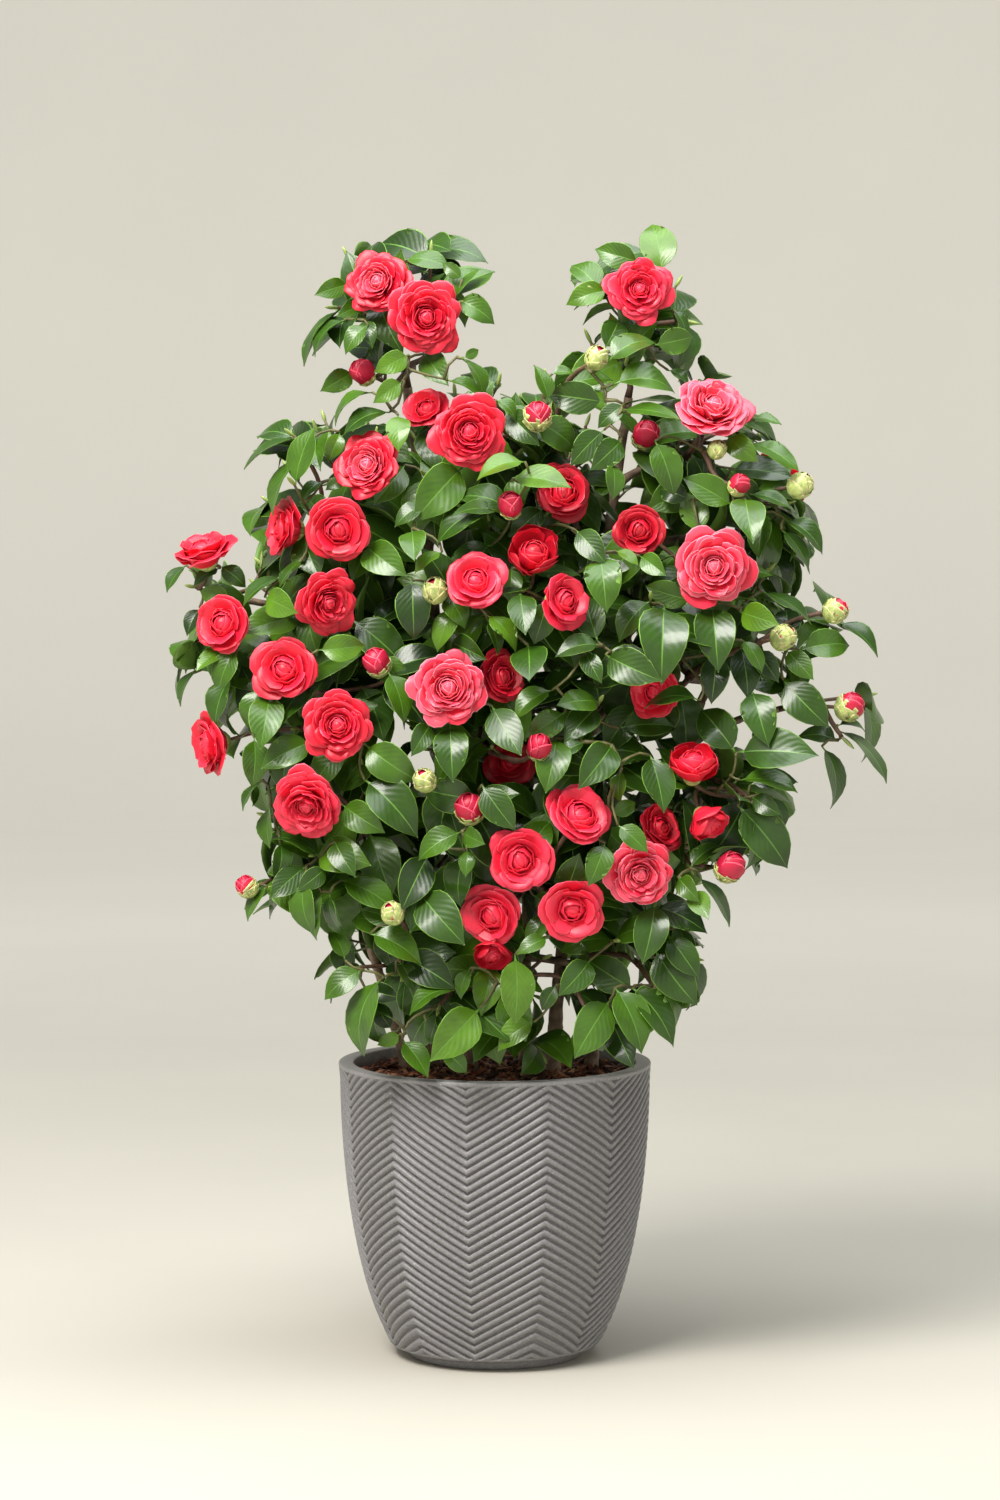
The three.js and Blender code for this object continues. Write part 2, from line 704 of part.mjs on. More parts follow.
// Places on the shoots so far where another may fork off
function forksOf(shoots) {
  return shoots.flatMap((shoot, index) => shoot.points.slice(1).flatMap((end, segment) => {
    const start = shoot.points[segment];
    if (index === 0 && segment === 0) return [];
    return FORK_SHARES.map((share) => ({
      parent: shoot,
      segment,
      point: between(start, end, share),
      path: shoot.path + shoot.points[0].distanceTo(start) + start.distanceTo(end) * share,
    }));
  })).filter((fork) => shoots.every((shoot) => shoot.points[0].distanceTo(fork.point) > FORKS_APART));
}

function twigsOf(shoots) {
  return shoots.flatMap((shoot) => shoot.points.slice(1).map((end, segment) => (
    { shoot, segment, start: shoot.points[segment], end, radius: TIP_RADIUS * TWIG_ALLOWANCE }
  )));
}

// A shoot's line leaves its fork in a bend and comes to its end in the end's own direction
function shootLine(from, target, straightness, jitter) {
  const distance = from.distanceTo(target.point);
  const control = along(target.point, target.direction, -distance * straightness)
    .addScaledVector(jitter, distance * BEND_SHARE);
  const steps = distance > BEND_BEYOND ? 3 : 2;
  return new THREE.QuadraticBezierCurve3(from, control, target.point).getPoints(steps);
}

// Whether a shoot's line keeps to its mass and is clear of limbs, twigs and other flowers
function lineFits(mass, line, segments, twigs, flowers) {
  const ends = line.slice(1);
  if (!ends.slice(0, -1).every((point) => inSpace(mass, point, SHOOT_WALL_MARGIN))) return false;
  return ends.every((end, step) => {
    const start = line[step];
    const share = step === 0 ? Math.min(0.5, FORK_CLEARANCE / start.distanceTo(end)) : 0;
    const samples = LINE_CHECKS.map((t) => between(start, end, t));
    return clearOfSegments(start, end, TIP_RADIUS, segments)
      && clearOfSegments(between(start, end, share), end, TIP_RADIUS, twigs)
      && clearOfFlowers(samples, flowers, FLOWER_MARGIN);
  });
}

// The first clear line to a target, from the forks in order of cost
function connect(mass, shoots, entry, target, segments, flowers, random) {
  if (!wallsClear(mass, target.point, TARGET_WALL_MARGIN)) return null;
  const others = flowers.filter((flower) => flower !== target.flower);
  const jitter = new THREE.Vector3(random() - 0.5, random() - 0.5, random() - 0.5);
  const first = { parent: null, segment: 0, point: entry.base, path: 0 };
  const forks = shoots.length ? forksOf(shoots) : [first];
  const twigs = twigsOf(shoots);
  const cost = (fork) => {
    const turning = 1 - directionTo(fork.point, target.point).dot(target.direction);
    return fork.point.distanceTo(target.point) * (1 + TURNING_COST * turning) + DETOUR_COST * fork.path;
  };
  forks.sort((a, b) => cost(a) - cost(b));
  for (const straightness of STRAIGHTNESSES) {
    for (const fork of forks) {
      const line = shootLine(fork.point, target, straightness, jitter);
      const longEnough = fork.point.distanceTo(target.point) > SHORTEST_SHOOT;
      if (longEnough && lineFits(mass, line, segments, twigs, others)) {
        const points = fork.parent ? line : [entry.point, ...line];
        return { ...target, parent: fork.parent, fork, path: fork.path, points };
      }
    }
  }
  return null;
}

function growShoots(mass, segments, flowers, seed) {
  const random = randomSource(seed);
  const { points } = mass.limb;
  const direction = directionTo(points[points.length - 2], points[points.length - 1]);
  const point = along(points[points.length - 1], direction, GAP);
  const entry = { point, base: along(point, direction, STEM_LENGTH) };
  const own = flowers.filter((flower) => massAt(baseOf(flower)) === mass);
  const sprays = seenSprays().filter((spray) => massAt(spray.point) === mass);
  const targets = own.map((flower) => ({ flower, point: baseOf(flower), direction: flower.direction }));
  targets.push(...sprays);
  const taken = [...own.map((flower) => flower.centre), ...sprays.map((spray) => spray.point)];
  targets.push(...shellTips(mass, point, random, taken));
  targets.sort((a, b) => a.point.distanceTo(point) - b.point.distanceTo(point));
  const shoots = [];
  for (const target of targets) {
    const shoot = connect(mass, shoots, entry, target, segments, flowers, random);
    if (shoot) shoots.push(shoot);
  }
  return { mass, shoots };
}

// Some shoots away from the front end in a bloom as well
function addBackBlooms({ mass, shoots }, segments, flowers) {
  shoots.forEach((shoot, index) => {
    const { point, direction } = shoot;
    if (shoot.flower || point.y < BACK_BLOOMS_FROM_Y || index % BACK_BLOOM_EVERY !== 1) return;
    const kind = index % 2 ? 'full' : 'open';
    const centre = along(point, direction, (FLOWER_SHAPES[kind].base - BASE_SUNK) * BACK_BLOOM_RADIUS);
    const room = BACK_BLOOM_RADIUS + BACK_BLOOM_ROOM;
    const apart = flowers.every((other) => other.centre.distanceTo(centre) > room + other.radius);
    const clear = clearOfSegments(centre, point, BACK_BLOOM_RADIUS, segments);
    if (!apart || !clear || !wallsClear(mass, centre, room)) return;
    shoot.flower = { kind, radius: BACK_BLOOM_RADIUS, direction, centre };
    flowers.push(shoot.flower);
  });
}

// Wood is thicker the more shoot ends it carries: the radius at each point of each shoot
function thicken(shoots) {
  const loads = new Map(shoots.map((shoot) => [shoot, shoot.points.map(() => 1)]));
  [...shoots].reverse().forEach((shoot) => {
    if (!shoot.parent) return;
    const carried = loads.get(shoot)[0];
    const parentLoads = loads.get(shoot.parent);
    for (let ring = 0; ring <= shoot.fork.segment; ring += 1) parentLoads[ring] += carried;
  });
  return new Map(shoots.map((shoot) => (
    [shoot, loads.get(shoot).map((load) => TIP_RADIUS * load ** TWIG_THICKENING)]
  )));
}

// Leaves: an eight-faced blade, arched along its length, with its base sunk in the twig
function leafFrame(twig, turn, side, other) {
  const radial = side.clone().multiplyScalar(Math.cos(turn)).addScaledVector(other, Math.sin(turn));
  const blade = twig.clone().multiplyScalar(LEAF_FORWARD)
    .addScaledVector(radial, LEAF_OUTWARD).addScaledVector(UP, -LEAF_DROOP).normalize();
  const face = twig.clone().multiplyScalar(FACE_FORWARD).addScaledVector(UP, FACE_UP);
  face.addScaledVector(blade, -face.dot(blade)).normalize();
  return { blade, face, across: new THREE.Vector3().crossVectors(face, blade) };
}

function leafCorners(base, frame, length, width) {
  const at = (alongBlade, acrossBlade, above) => along(base, frame.blade, alongBlade)
    .addScaledVector(frame.across, acrossBlade).addScaledVector(frame.face, above);
  const arch = length * LEAF_ARCH;
  return {
    root: at(0, 0, 0),
    left: at(length * LEAF_WIDEST_AT, width / 2, 0),
    right: at(length * LEAF_WIDEST_AT, -width / 2, 0),
    above: at(length * LEAF_HIGHEST_AT, 0, arch),
    below: at(length * LEAF_HIGHEST_AT, 0, arch - LEAF_THICKNESS),
    tip: at(length, 0, -arch * LEAF_TIP_DROP),
  };
}

// An octahedron whose corners move to those of the leaf
function leafSolid(corners) {
  const geometry = new THREE.OctahedronGeometry(1);
  const position = geometry.attributes.position;
  for (let i = 0; i < position.count; i += 1) {
    const [x, y, z] = [position.getX(i), position.getY(i), position.getZ(i)];
    let corner = z > 0 ? corners.above : corners.below;
    if (Math.abs(x) > 0.5) corner = x < 0 ? corners.root : corners.tip;
    if (Math.abs(y) > 0.5) corner = y < 0 ? corners.right : corners.left;
    position.setXYZ(i, corner.x, corner.y, corner.z);
  }
  return solidOf(geometry);
}

const BLADE_EDGES = [['root', 'left'], ['root', 'right'], ['root', 'above'], ['left', 'tip'],
  ['right', 'tip'], ['above', 'tip'], ['left', 'right']];
const EDGES_AT_ROOT = 3;
const BLADE_FACES = [['root', 'left', 'above'], ['root', 'right', 'above'], ['tip', 'left', 'above'],
  ['tip', 'right', 'above']];

// Whether a straight line from one point to another goes through a triangle
function pierces(start, end, [a, b, c]) {
  const first = b.clone().sub(a);
  const second = c.clone().sub(a);
  const line = end.clone().sub(start);
  const square = new THREE.Vector3().crossVectors(line, second);
  const scale = first.dot(square);
  if (Math.abs(scale) < TINY) return false;
  const offset = start.clone().sub(a);
  const swept = new THREE.Vector3().crossVectors(offset, first);
  const u = offset.dot(square) / scale;
  const v = line.dot(swept) / scale;
  const t = second.dot(swept) / scale;
  return u >= 0 && v >= 0 && u + v <= 1 && t >= 0 && t <= 1;
}

function edgesOf(corners) {
  return BLADE_EDGES.map(([from, to]) => [corners[from], corners[to]]);
}

function facesOf(corners) {
  return BLADE_FACES.map((names) => names.map((name) => corners[name]));
}

function bladesCross(one, other) {
  const crosses = (edges, faces) => edges.some(([from, to]) => faces.some((face) => pierces(from, to, face)));
  return crosses(edgesOf(one), facesOf(other)) || crosses(edgesOf(other), facesOf(one));
}

// Whether a leaf keeps to its mass and clear of limbs, flowers, other twigs and other leaves
function leafFits(mass, corners, surroundings, leaves) {
  const { segments, flowers, twigs, ownTwig } = surroundings;
  const outline = [corners.left, corners.right, corners.above, corners.below, corners.tip];
  if (!outline.every((point) => inCrown(mass, point, LEAF_WALL_MARGIN))) return false;
  const middle = between(corners.root, corners.tip, 0.5);
  const near = leaves.filter((leaf) => leaf.middle.distanceTo(middle) < LEAF_LENGTH * LEAF_NEIGHBOUR);
  if (near.some((leaf) => leaf.middle.distanceTo(middle) < LEAF_APART)) return false;
  const edges = edgesOf(corners);
  if (!edges.every(([from, to]) => clearOfSegments(from, to, 0, segments))) return false;
  const samples = edges.flatMap(([from, to]) => LEAF_CHECKS.map((share) => between(from, to, share)));
  if (!clearOfFlowers(samples, flowers, FLOWER_MARGIN)) return false;
  const faces = facesOf(corners);
  const pierced = [...segments, ...twigs].some((wood) => (
    wood !== ownTwig && faces.some((face) => pierces(wood.start, wood.end, face))
  ));
  const brushed = twigs.some((twig) => edges.slice(EDGES_AT_ROOT).some(([from, to]) => (
    segmentDistance(from, to, twig.start, twig.end) < twig.radius + BRUSH_MARGIN
  )));
  return !pierced && !brushed && !near.some((leaf) => bladesCross(corners, leaf.corners));
}

// The first leaf that fits at a place on a twig, turned on round the twig at each try
function leafAt(mass, base, twig, turn, surroundings, leaves) {
  const [side, other] = crossDirections(twig, SPIRAL_REFERENCE);
  for (let attempt = 0; attempt < LEAF_TRIES; attempt += 1) {
    const size = attempt < LEAF_TRIES / 2 ? 1 : SMALL_LEAF;
    const frame = leafFrame(twig, turn + attempt * LEAF_TRY_TURN, side, other);
    const corners = leafCorners(base, frame, LEAF_LENGTH * size, LEAF_WIDTH * size);
    if (leafFits(mass, corners, surroundings, leaves)) {
      return { corners, frame, middle: between(corners.root, corners.tip, 0.5) };
    }
  }
  return null;
}

// Leaves stand in a spiral on every shoot, from its end backwards, clear of the forks
function growLeaves({ mass, shoots }, segments, flowers) {
  const leaves = [];
  const twigs = twigsOf(shoots);
  shoots.forEach((shoot, shootIndex) => {
    let turn = shootIndex * SHOOT_TURN;
    const leafy = twigs.filter((twig) => twig.shoot === shoot && (shoot.parent || twig.segment > 0));
    for (const ownTwig of leafy.reverse()) {
      const twig = directionTo(ownTwig.start, ownTwig.end);
      const furthest = ownTwig.start.distanceTo(ownTwig.end) - LEAF_FROM_TIP;
      for (let reach = furthest; reach > LEAF_FROM_FORK; reach -= LEAF_SPACING) {
        turn += GOLDEN_ANGLE;
        const base = along(ownTwig.start, twig, reach);
        if (shoots.every((grown) => grown.points[0].distanceTo(base) >= FORKS_APART)) {
          const leaf = leafAt(mass, base, twig, turn, { segments, flowers, twigs, ownTwig }, leaves);
          if (leaf) leaves.push(leaf);
        }
      }
    }
  });
  return leaves;
}

// Whether every edge still has two faces once corners closer than the modelling limit are one
function isSound(solid) {
  const mesh = solid.getMesh();
  const corners = new Map();
  const cornerOf = (vertex) => {
    const place = [0, 1, 2].map((axis) => mesh.vertProperties[vertex * mesh.numProp + axis]);
    const key = place.map((value) => Math.round(value * SOUND_GRID)).join();
    if (!corners.has(key)) corners.set(key, corners.size);
    return corners.get(key);
  };
  const edges = new Map();
  for (let i = 0; i < mesh.triVerts.length; i += 3) {
    const face = [0, 1, 2].map((corner) => cornerOf(mesh.triVerts[i + corner]));
    if (new Set(face).size < 3) return false;
    face.forEach((corner, index) => {
      const next = face[(index + 1) % 3];
      const key = `${Math.min(corner, next)} ${Math.max(corner, next)}`;
      edges.set(key, (edges.get(key) || 0) + 1);
    });
  }
  return [...edges.values()].every((faces) => faces === 2);
}

function twigSolids(shoots, deeper) {
  const radii = thicken(shoots);
  return shoots.map((shoot) => {
    const widths = [...radii.get(shoot)];
    if (shoot.parent) widths[0] = SUNK_END_RADIUS * deeper;
    return solidOf(tubeGeometry(shoot.points, widths, TWIG_SIDES));
  });
}

function flowerSolids(shoots) {
  return shoots.flatMap(({ flower }) => {
    if (!flower) return [];
    if (flower.kind !== 'bud') return [bloomSolid(flower)];
    return flower.radius < FUSED_BUD_RADIUS ? [] : [budSolid(flower)];
  });
}

// One fused solid of twigs, leaves and flowers: roots are sunk a little deeper, and then the last
// leaves left out, until it is sound
function massSolid({ mass, shoots }, segments, flowers) {
  const leaves = growLeaves({ mass, shoots }, segments, flowers);
  for (let count = leaves.length; count > 0; count -= 1) {
    for (const deeper of ROOT_DEPTHS) {
      const blades = leaves.slice(0, count).map(({ corners, frame }) => (
        leafSolid({ ...corners, root: along(corners.root, frame.blade, -LEAF_SINK * deeper) })
      ));
      const parts = [...twigSolids(shoots, deeper), ...blades, ...flowerSolids(shoots)];
      const whole = wholeOf(wasm.Manifold.union(parts));
      if (isSound(whole)) return whole;
    }
  }
  throw new Error(`${mass.name} has no sound solid`);
}

// Finishes
const FINISHES = {
  planter: { color: 0x8f8b86, roughness: 0.62, metalness: 0 },
  mulch: { color: 0x3a1f17, roughness: 0.95, metalness: 0 },
  bark: { color: 0x8a7763, roughness: 0.85, metalness: 0 },
  foliage: { color: 0x2f6b2c, roughness: 0.4, metalness: 0 },
};

function meshOf(name, solid, finish) {
  const mesh = new THREE.Mesh(geometryFrom(solid), new THREE.MeshStandardMaterial(FINISHES[finish]));
  mesh.name = name;
  return mesh;
}

function camelliaShrub() {
  const shrub = new THREE.Group();
  shrub.add(meshOf('pot', potSolid(), 'planter'));
  shrub.add(meshOf('soil', soilSolid(), 'mulch'));
  const flowers = [...seenBlooms(), ...seenBuds()];
  const limbs = growLimbs(flowers);
  limbs.forEach((limb) => shrub.add(meshOf(limb.name, limbSolid(limb), 'bark')));
  const segments = limbs.flatMap(segmentsOf);
  const growths = masses.map((mass, index) => (
    growShoots(mass, segments, flowers, FIRST_SEED + index * SEED_STEP)
  ));
  growths.forEach((growth) => addBackBlooms(growth, segments, flowers));
  growths.forEach((growth) => {
    shrub.add(meshOf(`mass_${growth.mass.name}`, massSolid(growth, segments, flowers), 'foliage'));
  });
  return shrub;
}

const group = camelliaShrub();
export default group;
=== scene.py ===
"""The looks of a camellia shrub in its planter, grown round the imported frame.

Lengths are in millimetres, as in the part's own source, and turn to metres where a mesh is made.
+Z is up and the front faces -Y.
"""
import json
import math

import bmesh
import bpy
import numpy as np
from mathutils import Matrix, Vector

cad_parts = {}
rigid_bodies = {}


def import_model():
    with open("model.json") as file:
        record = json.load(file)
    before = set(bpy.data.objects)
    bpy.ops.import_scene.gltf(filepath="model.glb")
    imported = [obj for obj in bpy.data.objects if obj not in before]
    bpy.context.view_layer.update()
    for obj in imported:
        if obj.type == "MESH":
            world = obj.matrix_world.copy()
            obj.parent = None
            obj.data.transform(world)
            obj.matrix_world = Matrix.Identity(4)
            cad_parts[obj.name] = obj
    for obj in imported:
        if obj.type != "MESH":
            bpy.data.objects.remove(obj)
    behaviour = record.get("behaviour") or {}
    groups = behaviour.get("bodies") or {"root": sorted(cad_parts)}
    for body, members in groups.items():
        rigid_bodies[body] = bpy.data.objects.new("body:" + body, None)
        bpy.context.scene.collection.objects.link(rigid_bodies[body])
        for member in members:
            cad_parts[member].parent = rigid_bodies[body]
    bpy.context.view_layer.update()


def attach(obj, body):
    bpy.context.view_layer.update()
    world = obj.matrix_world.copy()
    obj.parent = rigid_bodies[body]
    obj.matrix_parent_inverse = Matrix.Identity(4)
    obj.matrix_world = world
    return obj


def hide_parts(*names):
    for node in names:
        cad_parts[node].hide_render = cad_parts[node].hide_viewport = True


METRES = 0.001
FULL_TURN = math.pi * 2
TINY = 1e-9
NEARLY_PARALLEL = 1e-3
SIDEWAYS_FROM = 0.7

# Camera, from the ellipse of the planter's rim and its sides in the photograph
PHOTO_WIDTH = 1000
PHOTO_HEIGHT = 1500
FOCAL_PIXELS = 4026.8
SENSOR = 36.0
CAMERA_PLACE = (5.2, -4000.0, 854.5)
CAMERA_DOWN = 3.56

# Planter
POT_HEIGHT = 294.5
FOOT_RADIUS = 88.0
FOOT_HEIGHT = 12.0
WALL_FOOT_RADIUS = 90.0
WALL_SWELL = 66.0
WALL_STEEPENING = 2.1
WALL_ROUNDNESS = 0.61
WALL_THICKNESS = 15.0
FLOOR_Z = 26.0
FLOOR_CORNER = 20.0
RIM_ROUND = 1.5
POT_COLUMNS = 144
SOIL_TOP_Z = 283.0
SOIL_TOP_RADIUS = 112.0
SOIL_EDGE_Z = 279.0
INNER_WALL_STEPS = (270, 230, 190, 140, 95, 46)
FOOT_ROUND = 3.0
FOOT_BEVEL = 2.0
FOOT_LEDGE = 1.5
LEDGE_DROP = 0.5
AXIS_RADIUS = 0.01
ARC_STEPS = 4
WELD_DISTANCE = 0.00002

# Ribs on the planter's wall: they climb from valleys to peaks, which take turns round it. The
# profile of one rib has shares of the pitch and of the depth that is cut away there
RIB_PITCH = 8.6
RIB_DEPTH = 4.2
RIB_PROFILE = ((0.0, 0.3), (0.08, 0.05), (0.3, 0.0), (0.52, 0.06), (0.61, 0.35), (0.69, 1.0), (0.9, 1.0))
RIB_CLIMB = 0.6
RIB_FADE = 2.0
PLEAT_DEPTH = 3.2
PLEAT_FADE = 14.0
PANELS = 12
FIRST_VALLEY = math.radians(-10.5)
RIBS_FROM_Z = 14.0
RIBS_TO_Z = 291.0

# Crown: its half depth shrinks from the middle to the outline
CROWN_CENTRE_X = 20.0
CROWN_CENTRE_Z = 650.0
CROWN_HALF_WIDTH = 380.0
CROWN_HALF_HEIGHT = 480.0
CROWN_RIM_DEPTH = 60.0
CROWN_SWELL_DEPTH = 150.0
CROWN_FLOOR_Z = 303.0

# Stems: name, foot, a point halfway up, tip, radius at the foot and at the tip, mass at the tip
STEMS = [
    ("stem_left", (-87, 12), (-130, 0, 430), (-180, -35, 610), 5.2, 4.2, "left_middle"),
    ("stem_left_inner", (-60, 34), (-118, 12, 520), (-158, -15, 775), 5.6, 4.2, "left_shoulder"),
    ("stem_tall", (-26, 22), (-50, 16, 640), (-86, -8, 965), 7.2, 4.4, "top_left"),
    ("stem_centre", (56, -12), (88, 8, 610), (132, -4, 955), 7.6, 4.4, "top_right"),
    ("stem_back", (30, 44), (34, 62, 550), (40, 78, 800), 6.0, 4.2, "back_top"),
    ("stem_right", (96, 22), (132, 14, 450), (205, -14, 655), 5.6, 4.2, "right_middle"),
]
ROOT_FLARE = [(-14, 2.6), (0, 2.0), (10, 1.4), (28, 1.1)]
STEM_STEPS = 5
BOUGH_STARTS = (0.28, 0.36, 0.44, 0.52, 0.6, 0.68, 0.76, 0.84, 0.92)
BOUGH_STEPS = 3
BOUGH_BEND = 0.12
BOUGH_SHARE = 0.78
BOUGH_BASE_RADIUS = 5.4
BOUGH_TIP_RADIUS = 3.2
BOUGH_SLANT_WORTH = 1.5
BOUGH_FLOWER_MARGIN = 9.0
ENTRY_SHARE = 0.62
ENTRY_STEP = 4.0
ENTRY_MARGIN = 6.0
GAP = 0.35

# Masses of foliage: name, centre, half sizes
MASSES = [
    ("top_left", (-85, -45, 1035), (95, 115, 88)),
    ("top_right", (132, -25, 1035), (76, 105, 82)),
    ("left_shoulder", (-155, -70, 868), (112, 140, 105)),
    ("upper_centre", (-30, -75, 905), (92, 140, 80)),
    ("middle_top", (66, -50, 905), (74, 125, 76)),
    ("right_shoulder", (212, -45, 910), (88, 125, 90)),
    ("left_arm", (-262, -65, 765), (78, 110, 110)),
    ("left_middle", (-190, -90, 690), (112, 140, 100)),
    ("centre", (25, -105, 785), (95, 125, 85)),
    ("right_middle", (185, -100, 745), (105, 130, 110)),
    ("right_high", (258, -5, 840), (74, 115, 86)),
    ("middle", (-25, -110, 645), (100, 125, 90)),
    ("inner_right", (100, -95, 645), (78, 112, 80)),
    ("right_arm", (322, -35, 668), (82, 108, 100)),
    ("left_lower", (-168, -70, 535), (92, 135, 108)),
    ("low_centre", (35, -100, 495), (92, 125, 90)),
    ("right_lower", (215, -60, 555), (82, 130, 90)),
    ("low_left", (-102, -60, 405), (82, 110, 95)),
    ("low_front", (18, -95, 372), (85, 105, 72)),
    ("low_right", (130, -60, 405), (80, 125, 98)),
    ("back_top", (30, 105, 875), (135, 110, 100)),
    ("back_left", (-180, 105, 740), (120, 112, 128)),
    ("back_right", (195, 105, 745), (118, 112, 128)),
    ("back_middle", (15, 150, 680), (115, 95, 115)),
    ("back_low_left", (-102, 100, 490), (112, 115, 128)),
    ("back_low_right", (110, 100, 490), (112, 115, 128)),
]

# Seeds of the random draws, and their steps from one mass or limb to the next
SHOOT_SEED = 101
SHOOT_SEED_STEP = 37
FINE_SEED = 5003
FINE_SEED_STEP = 29
SEEN_LEAF_SEED = 6173
LEAF_SEED = 7001
LEAF_SEED_STEP = 53
LEAF_SHAPE_SEED = 4201
BLOOM_SEED = 6007
BARK_SEED = 307
BARK_SEED_STEP = 11
TWIG_SEED = 977
CHIP_SEED = 881

# Blooms seen from the front: kind, x, z, radius, yaw (+ turns right), pitch (+ looks up), set back, tint,
# where the deep tint is painted shade
BLOOMS = [
    ("full", -111, 1063, 36, -15, 15, 0, "heart"),
    ("full", -66, 1028, 41, 8, 0, 8, "red"),
    ("full", -24, 918, 42, 0, 0, 0, "red"),
    ("open", -66, 942, 28, -15, 35, 60, "red"),
    ("full", -120, 887, 37, -22, 20, 0, "heart"),
    ("open", -148, 826, 36, -5, -5, 6, "red"),
    ("open", -203, 828, 33, -65, 10, 20, "red"),
    ("open", -280, 808, 34, -30, 62, 0, "red"),
    ("open", -261, 737, 32, -20, 8, 0, "red"),
    ("full", -158, 757, 35, 20, -12, 10, "red"),
    ("open", -200, 694, 35, -12, 5, 0, "red"),
    ("full", -148, 641, 38, 0, 0, 0, "red"),
    ("open", -275, 620, 33, -60, -8, 10, "red"),
    ("full", -178, 566, 42, -15, -22, 0, "coral"),
    ("open", -18, 779, 33, -5, 20, 0, "coral"),
    ("cup", 37, 803, 28, 0, 35, 14, "deep"),
    ("open", 67, 760, 33, 45, 8, 6, "coral"),
    ("open", 66, 862, 32, 20, 12, 40, "deep"),
    ("full", -43, 677, 42, 0, 5, 0, "rose"),
    ("open", 8, 686, 30, 35, 10, 46, "deep"),
    ("open", 15, 601, 28, 0, 5, 100, "deep"),
    ("open", 24, 514, 35, 0, 5, 0, "coral"),
    ("open", 81, 557, 37, 25, 30, 0, "coral"),
    ("open", -3, 458, 33, -20, -10, 22, "coral"),
    ("open", 74, 466, 36, 8, -15, 0, "coral"),
    ("cup", -2, 420, 20, -8, -40, 30, "red"),
    ("full", 138, 500, 37, 10, 0, 0, "rose"),
    ("open", 160, 540, 29, 40, 25, 50, "deep"),
    ("full", 208, 790, 44, 5, 5, 0, "rose"),
    ("open", 137, 826, 29, -8, -8, 10, "deep"),
    ("open", 153, 670, 28, -20, 8, 50, "red"),
    ("cup", 189, 604, 27, 8, 60, 10, "red"),
    ("cup", 203, 548, 22, 45, -40, 0, "red"),
    ("full", 208, 942, 44, 8, 42, 0, "rose"),
    ("full", 139, 1055, 36, 5, 5, 0, "coral"),
]

# Buds seen from the front: x, z, radius, set back, share of its length that shows red
BUDS = [
    (-128, 978, 12, 50, 0.85),
    (146, 918, 13, 70, 0.85),
    (97, 989, 10, 0, 0.02),
    (15, 850, 12, 0, 0.75),
    (41, 934, 13, 0, 0.3),
    (-56, 769, 11, 10, 0.02),
    (-112, 701, 13, 20, 0.6),
    (-66, 590, 10, 0, 0.02),
    (-24, 563, 14, 10, 0.55),
    (42, 622, 12, 0, 0.7),
    (180, 640, 11, 40, 0.2),
    (342, 657, 13, 0, 0.35),
    (327, 749, 11, 0, 0.15),
    (275, 724, 11, 0, 0.02),
    (225, 506, 14, 0, 0.6),
    (293, 868, 11, 0, 0.02),
    (233, 869, 10, 0, 0.6),
    (-238, 485, 10, 0, 0.4),
    (-97, 462, 10, 0, 0.02),
    (212, 902, 8, 4, 0.02),
]

# Leafy shoot ends seen from the front: x, z, set back, yaw, pitch
SPRAYS = [
    (-62, 1088, 30, 15, 75),
    (-42, 1042, 30, 70, 10),
    (-152, 1040, 30, -70, 0),
    (-192, 915, 20, -60, 35),
    (152, 1098, 30, 10, 75),
    (92, 1058, 20, -65, 15),
    (188, 1028, 30, 70, -10),
    (48, 968, 20, 0, 70),
    (258, 935, 20, 60, 5),
    (283, 850, 20, 70, 10),
    (335, 625, 10, 60, -40),
    (252, 560, 20, 50, -20),
    (196, 450, 20, 40, -20),
    (160, 378, 20, 30, -35),
    (88, 366, 20, 5, -40),
    (8, 385, 20, 0, -50),
    (-56, 366, 20, -15, -40),
    (-150, 405, 20, -50, -10),
    (-222, 478, 20, -60, -5),
    (-296, 686, 20, -60, -30),
    (-292, 772, 20, -60, 10),
]

# Flowers: how deep they sit and how much room they take, in shares of the radius, and the blooms
# that the growth rule adds at the back
FLOWER_BASE = {"full": 0.5, "open": 0.56, "cup": 0.85, "bud": 1.0}
FLOWER_ROOM = {"full": 0.62, "open": 0.62, "cup": 1.1, "bud": 1.1}
BASE_SUNK = 0.1
BUD_OUTWARD_RISE = 60.0
BACK_BLOOM_EVERY = 3
BACK_BLOOM_RADIUS = 36.0
BACK_BLOOM_ROOM = 8.0
BACK_BLOOMS_FROM_Y = 20.0
BACK_BLOOM_TINTS = ("red", "coral", "rose")

# Clearances that growth keeps to walls between masses, to wood and to flowers
SHOOT_WALL_MARGIN = 5.0
TARGET_WALL_MARGIN = 3.0
TOUCH_MARGIN = 2.5
FLOWER_MARGIN = 2.0

# Shoots: where they end, how they bend, and how they fork
STEM_LENGTH = 16.0
SHORTEST_SHOOT = 26.0
TIP_RADIUS = 2.3
TWIG_ALLOWANCE = 1.3
TWIG_THICKENING = 0.3
TIP_SLIMMING = 0.8
FINE_LOAD = 0.4
SHELL_TRIES = 260
SHELL_SHARE = 0.6
SHOOTS_SPACING = 86.0
OUTWARD_FLATTENING = 0.6
OUTWARD_RISE = 90.0
RADIAL_PULL = 0.5
STRAIGHTNESSES = (0.5, 0.3, 0.12)
BEND_SHARE = 0.25
BEND_BEYOND = 125.0
FORK_SHARES = (0.25, 0.5, 0.75)
FORK_CLEARANCE = 14.0
FORKS_APART = 9.0
TURNING_COST = 0.3
DETOUR_COST = 0.5
LINE_CHECKS = np.array([0.0, 0.25, 0.5, 0.75])

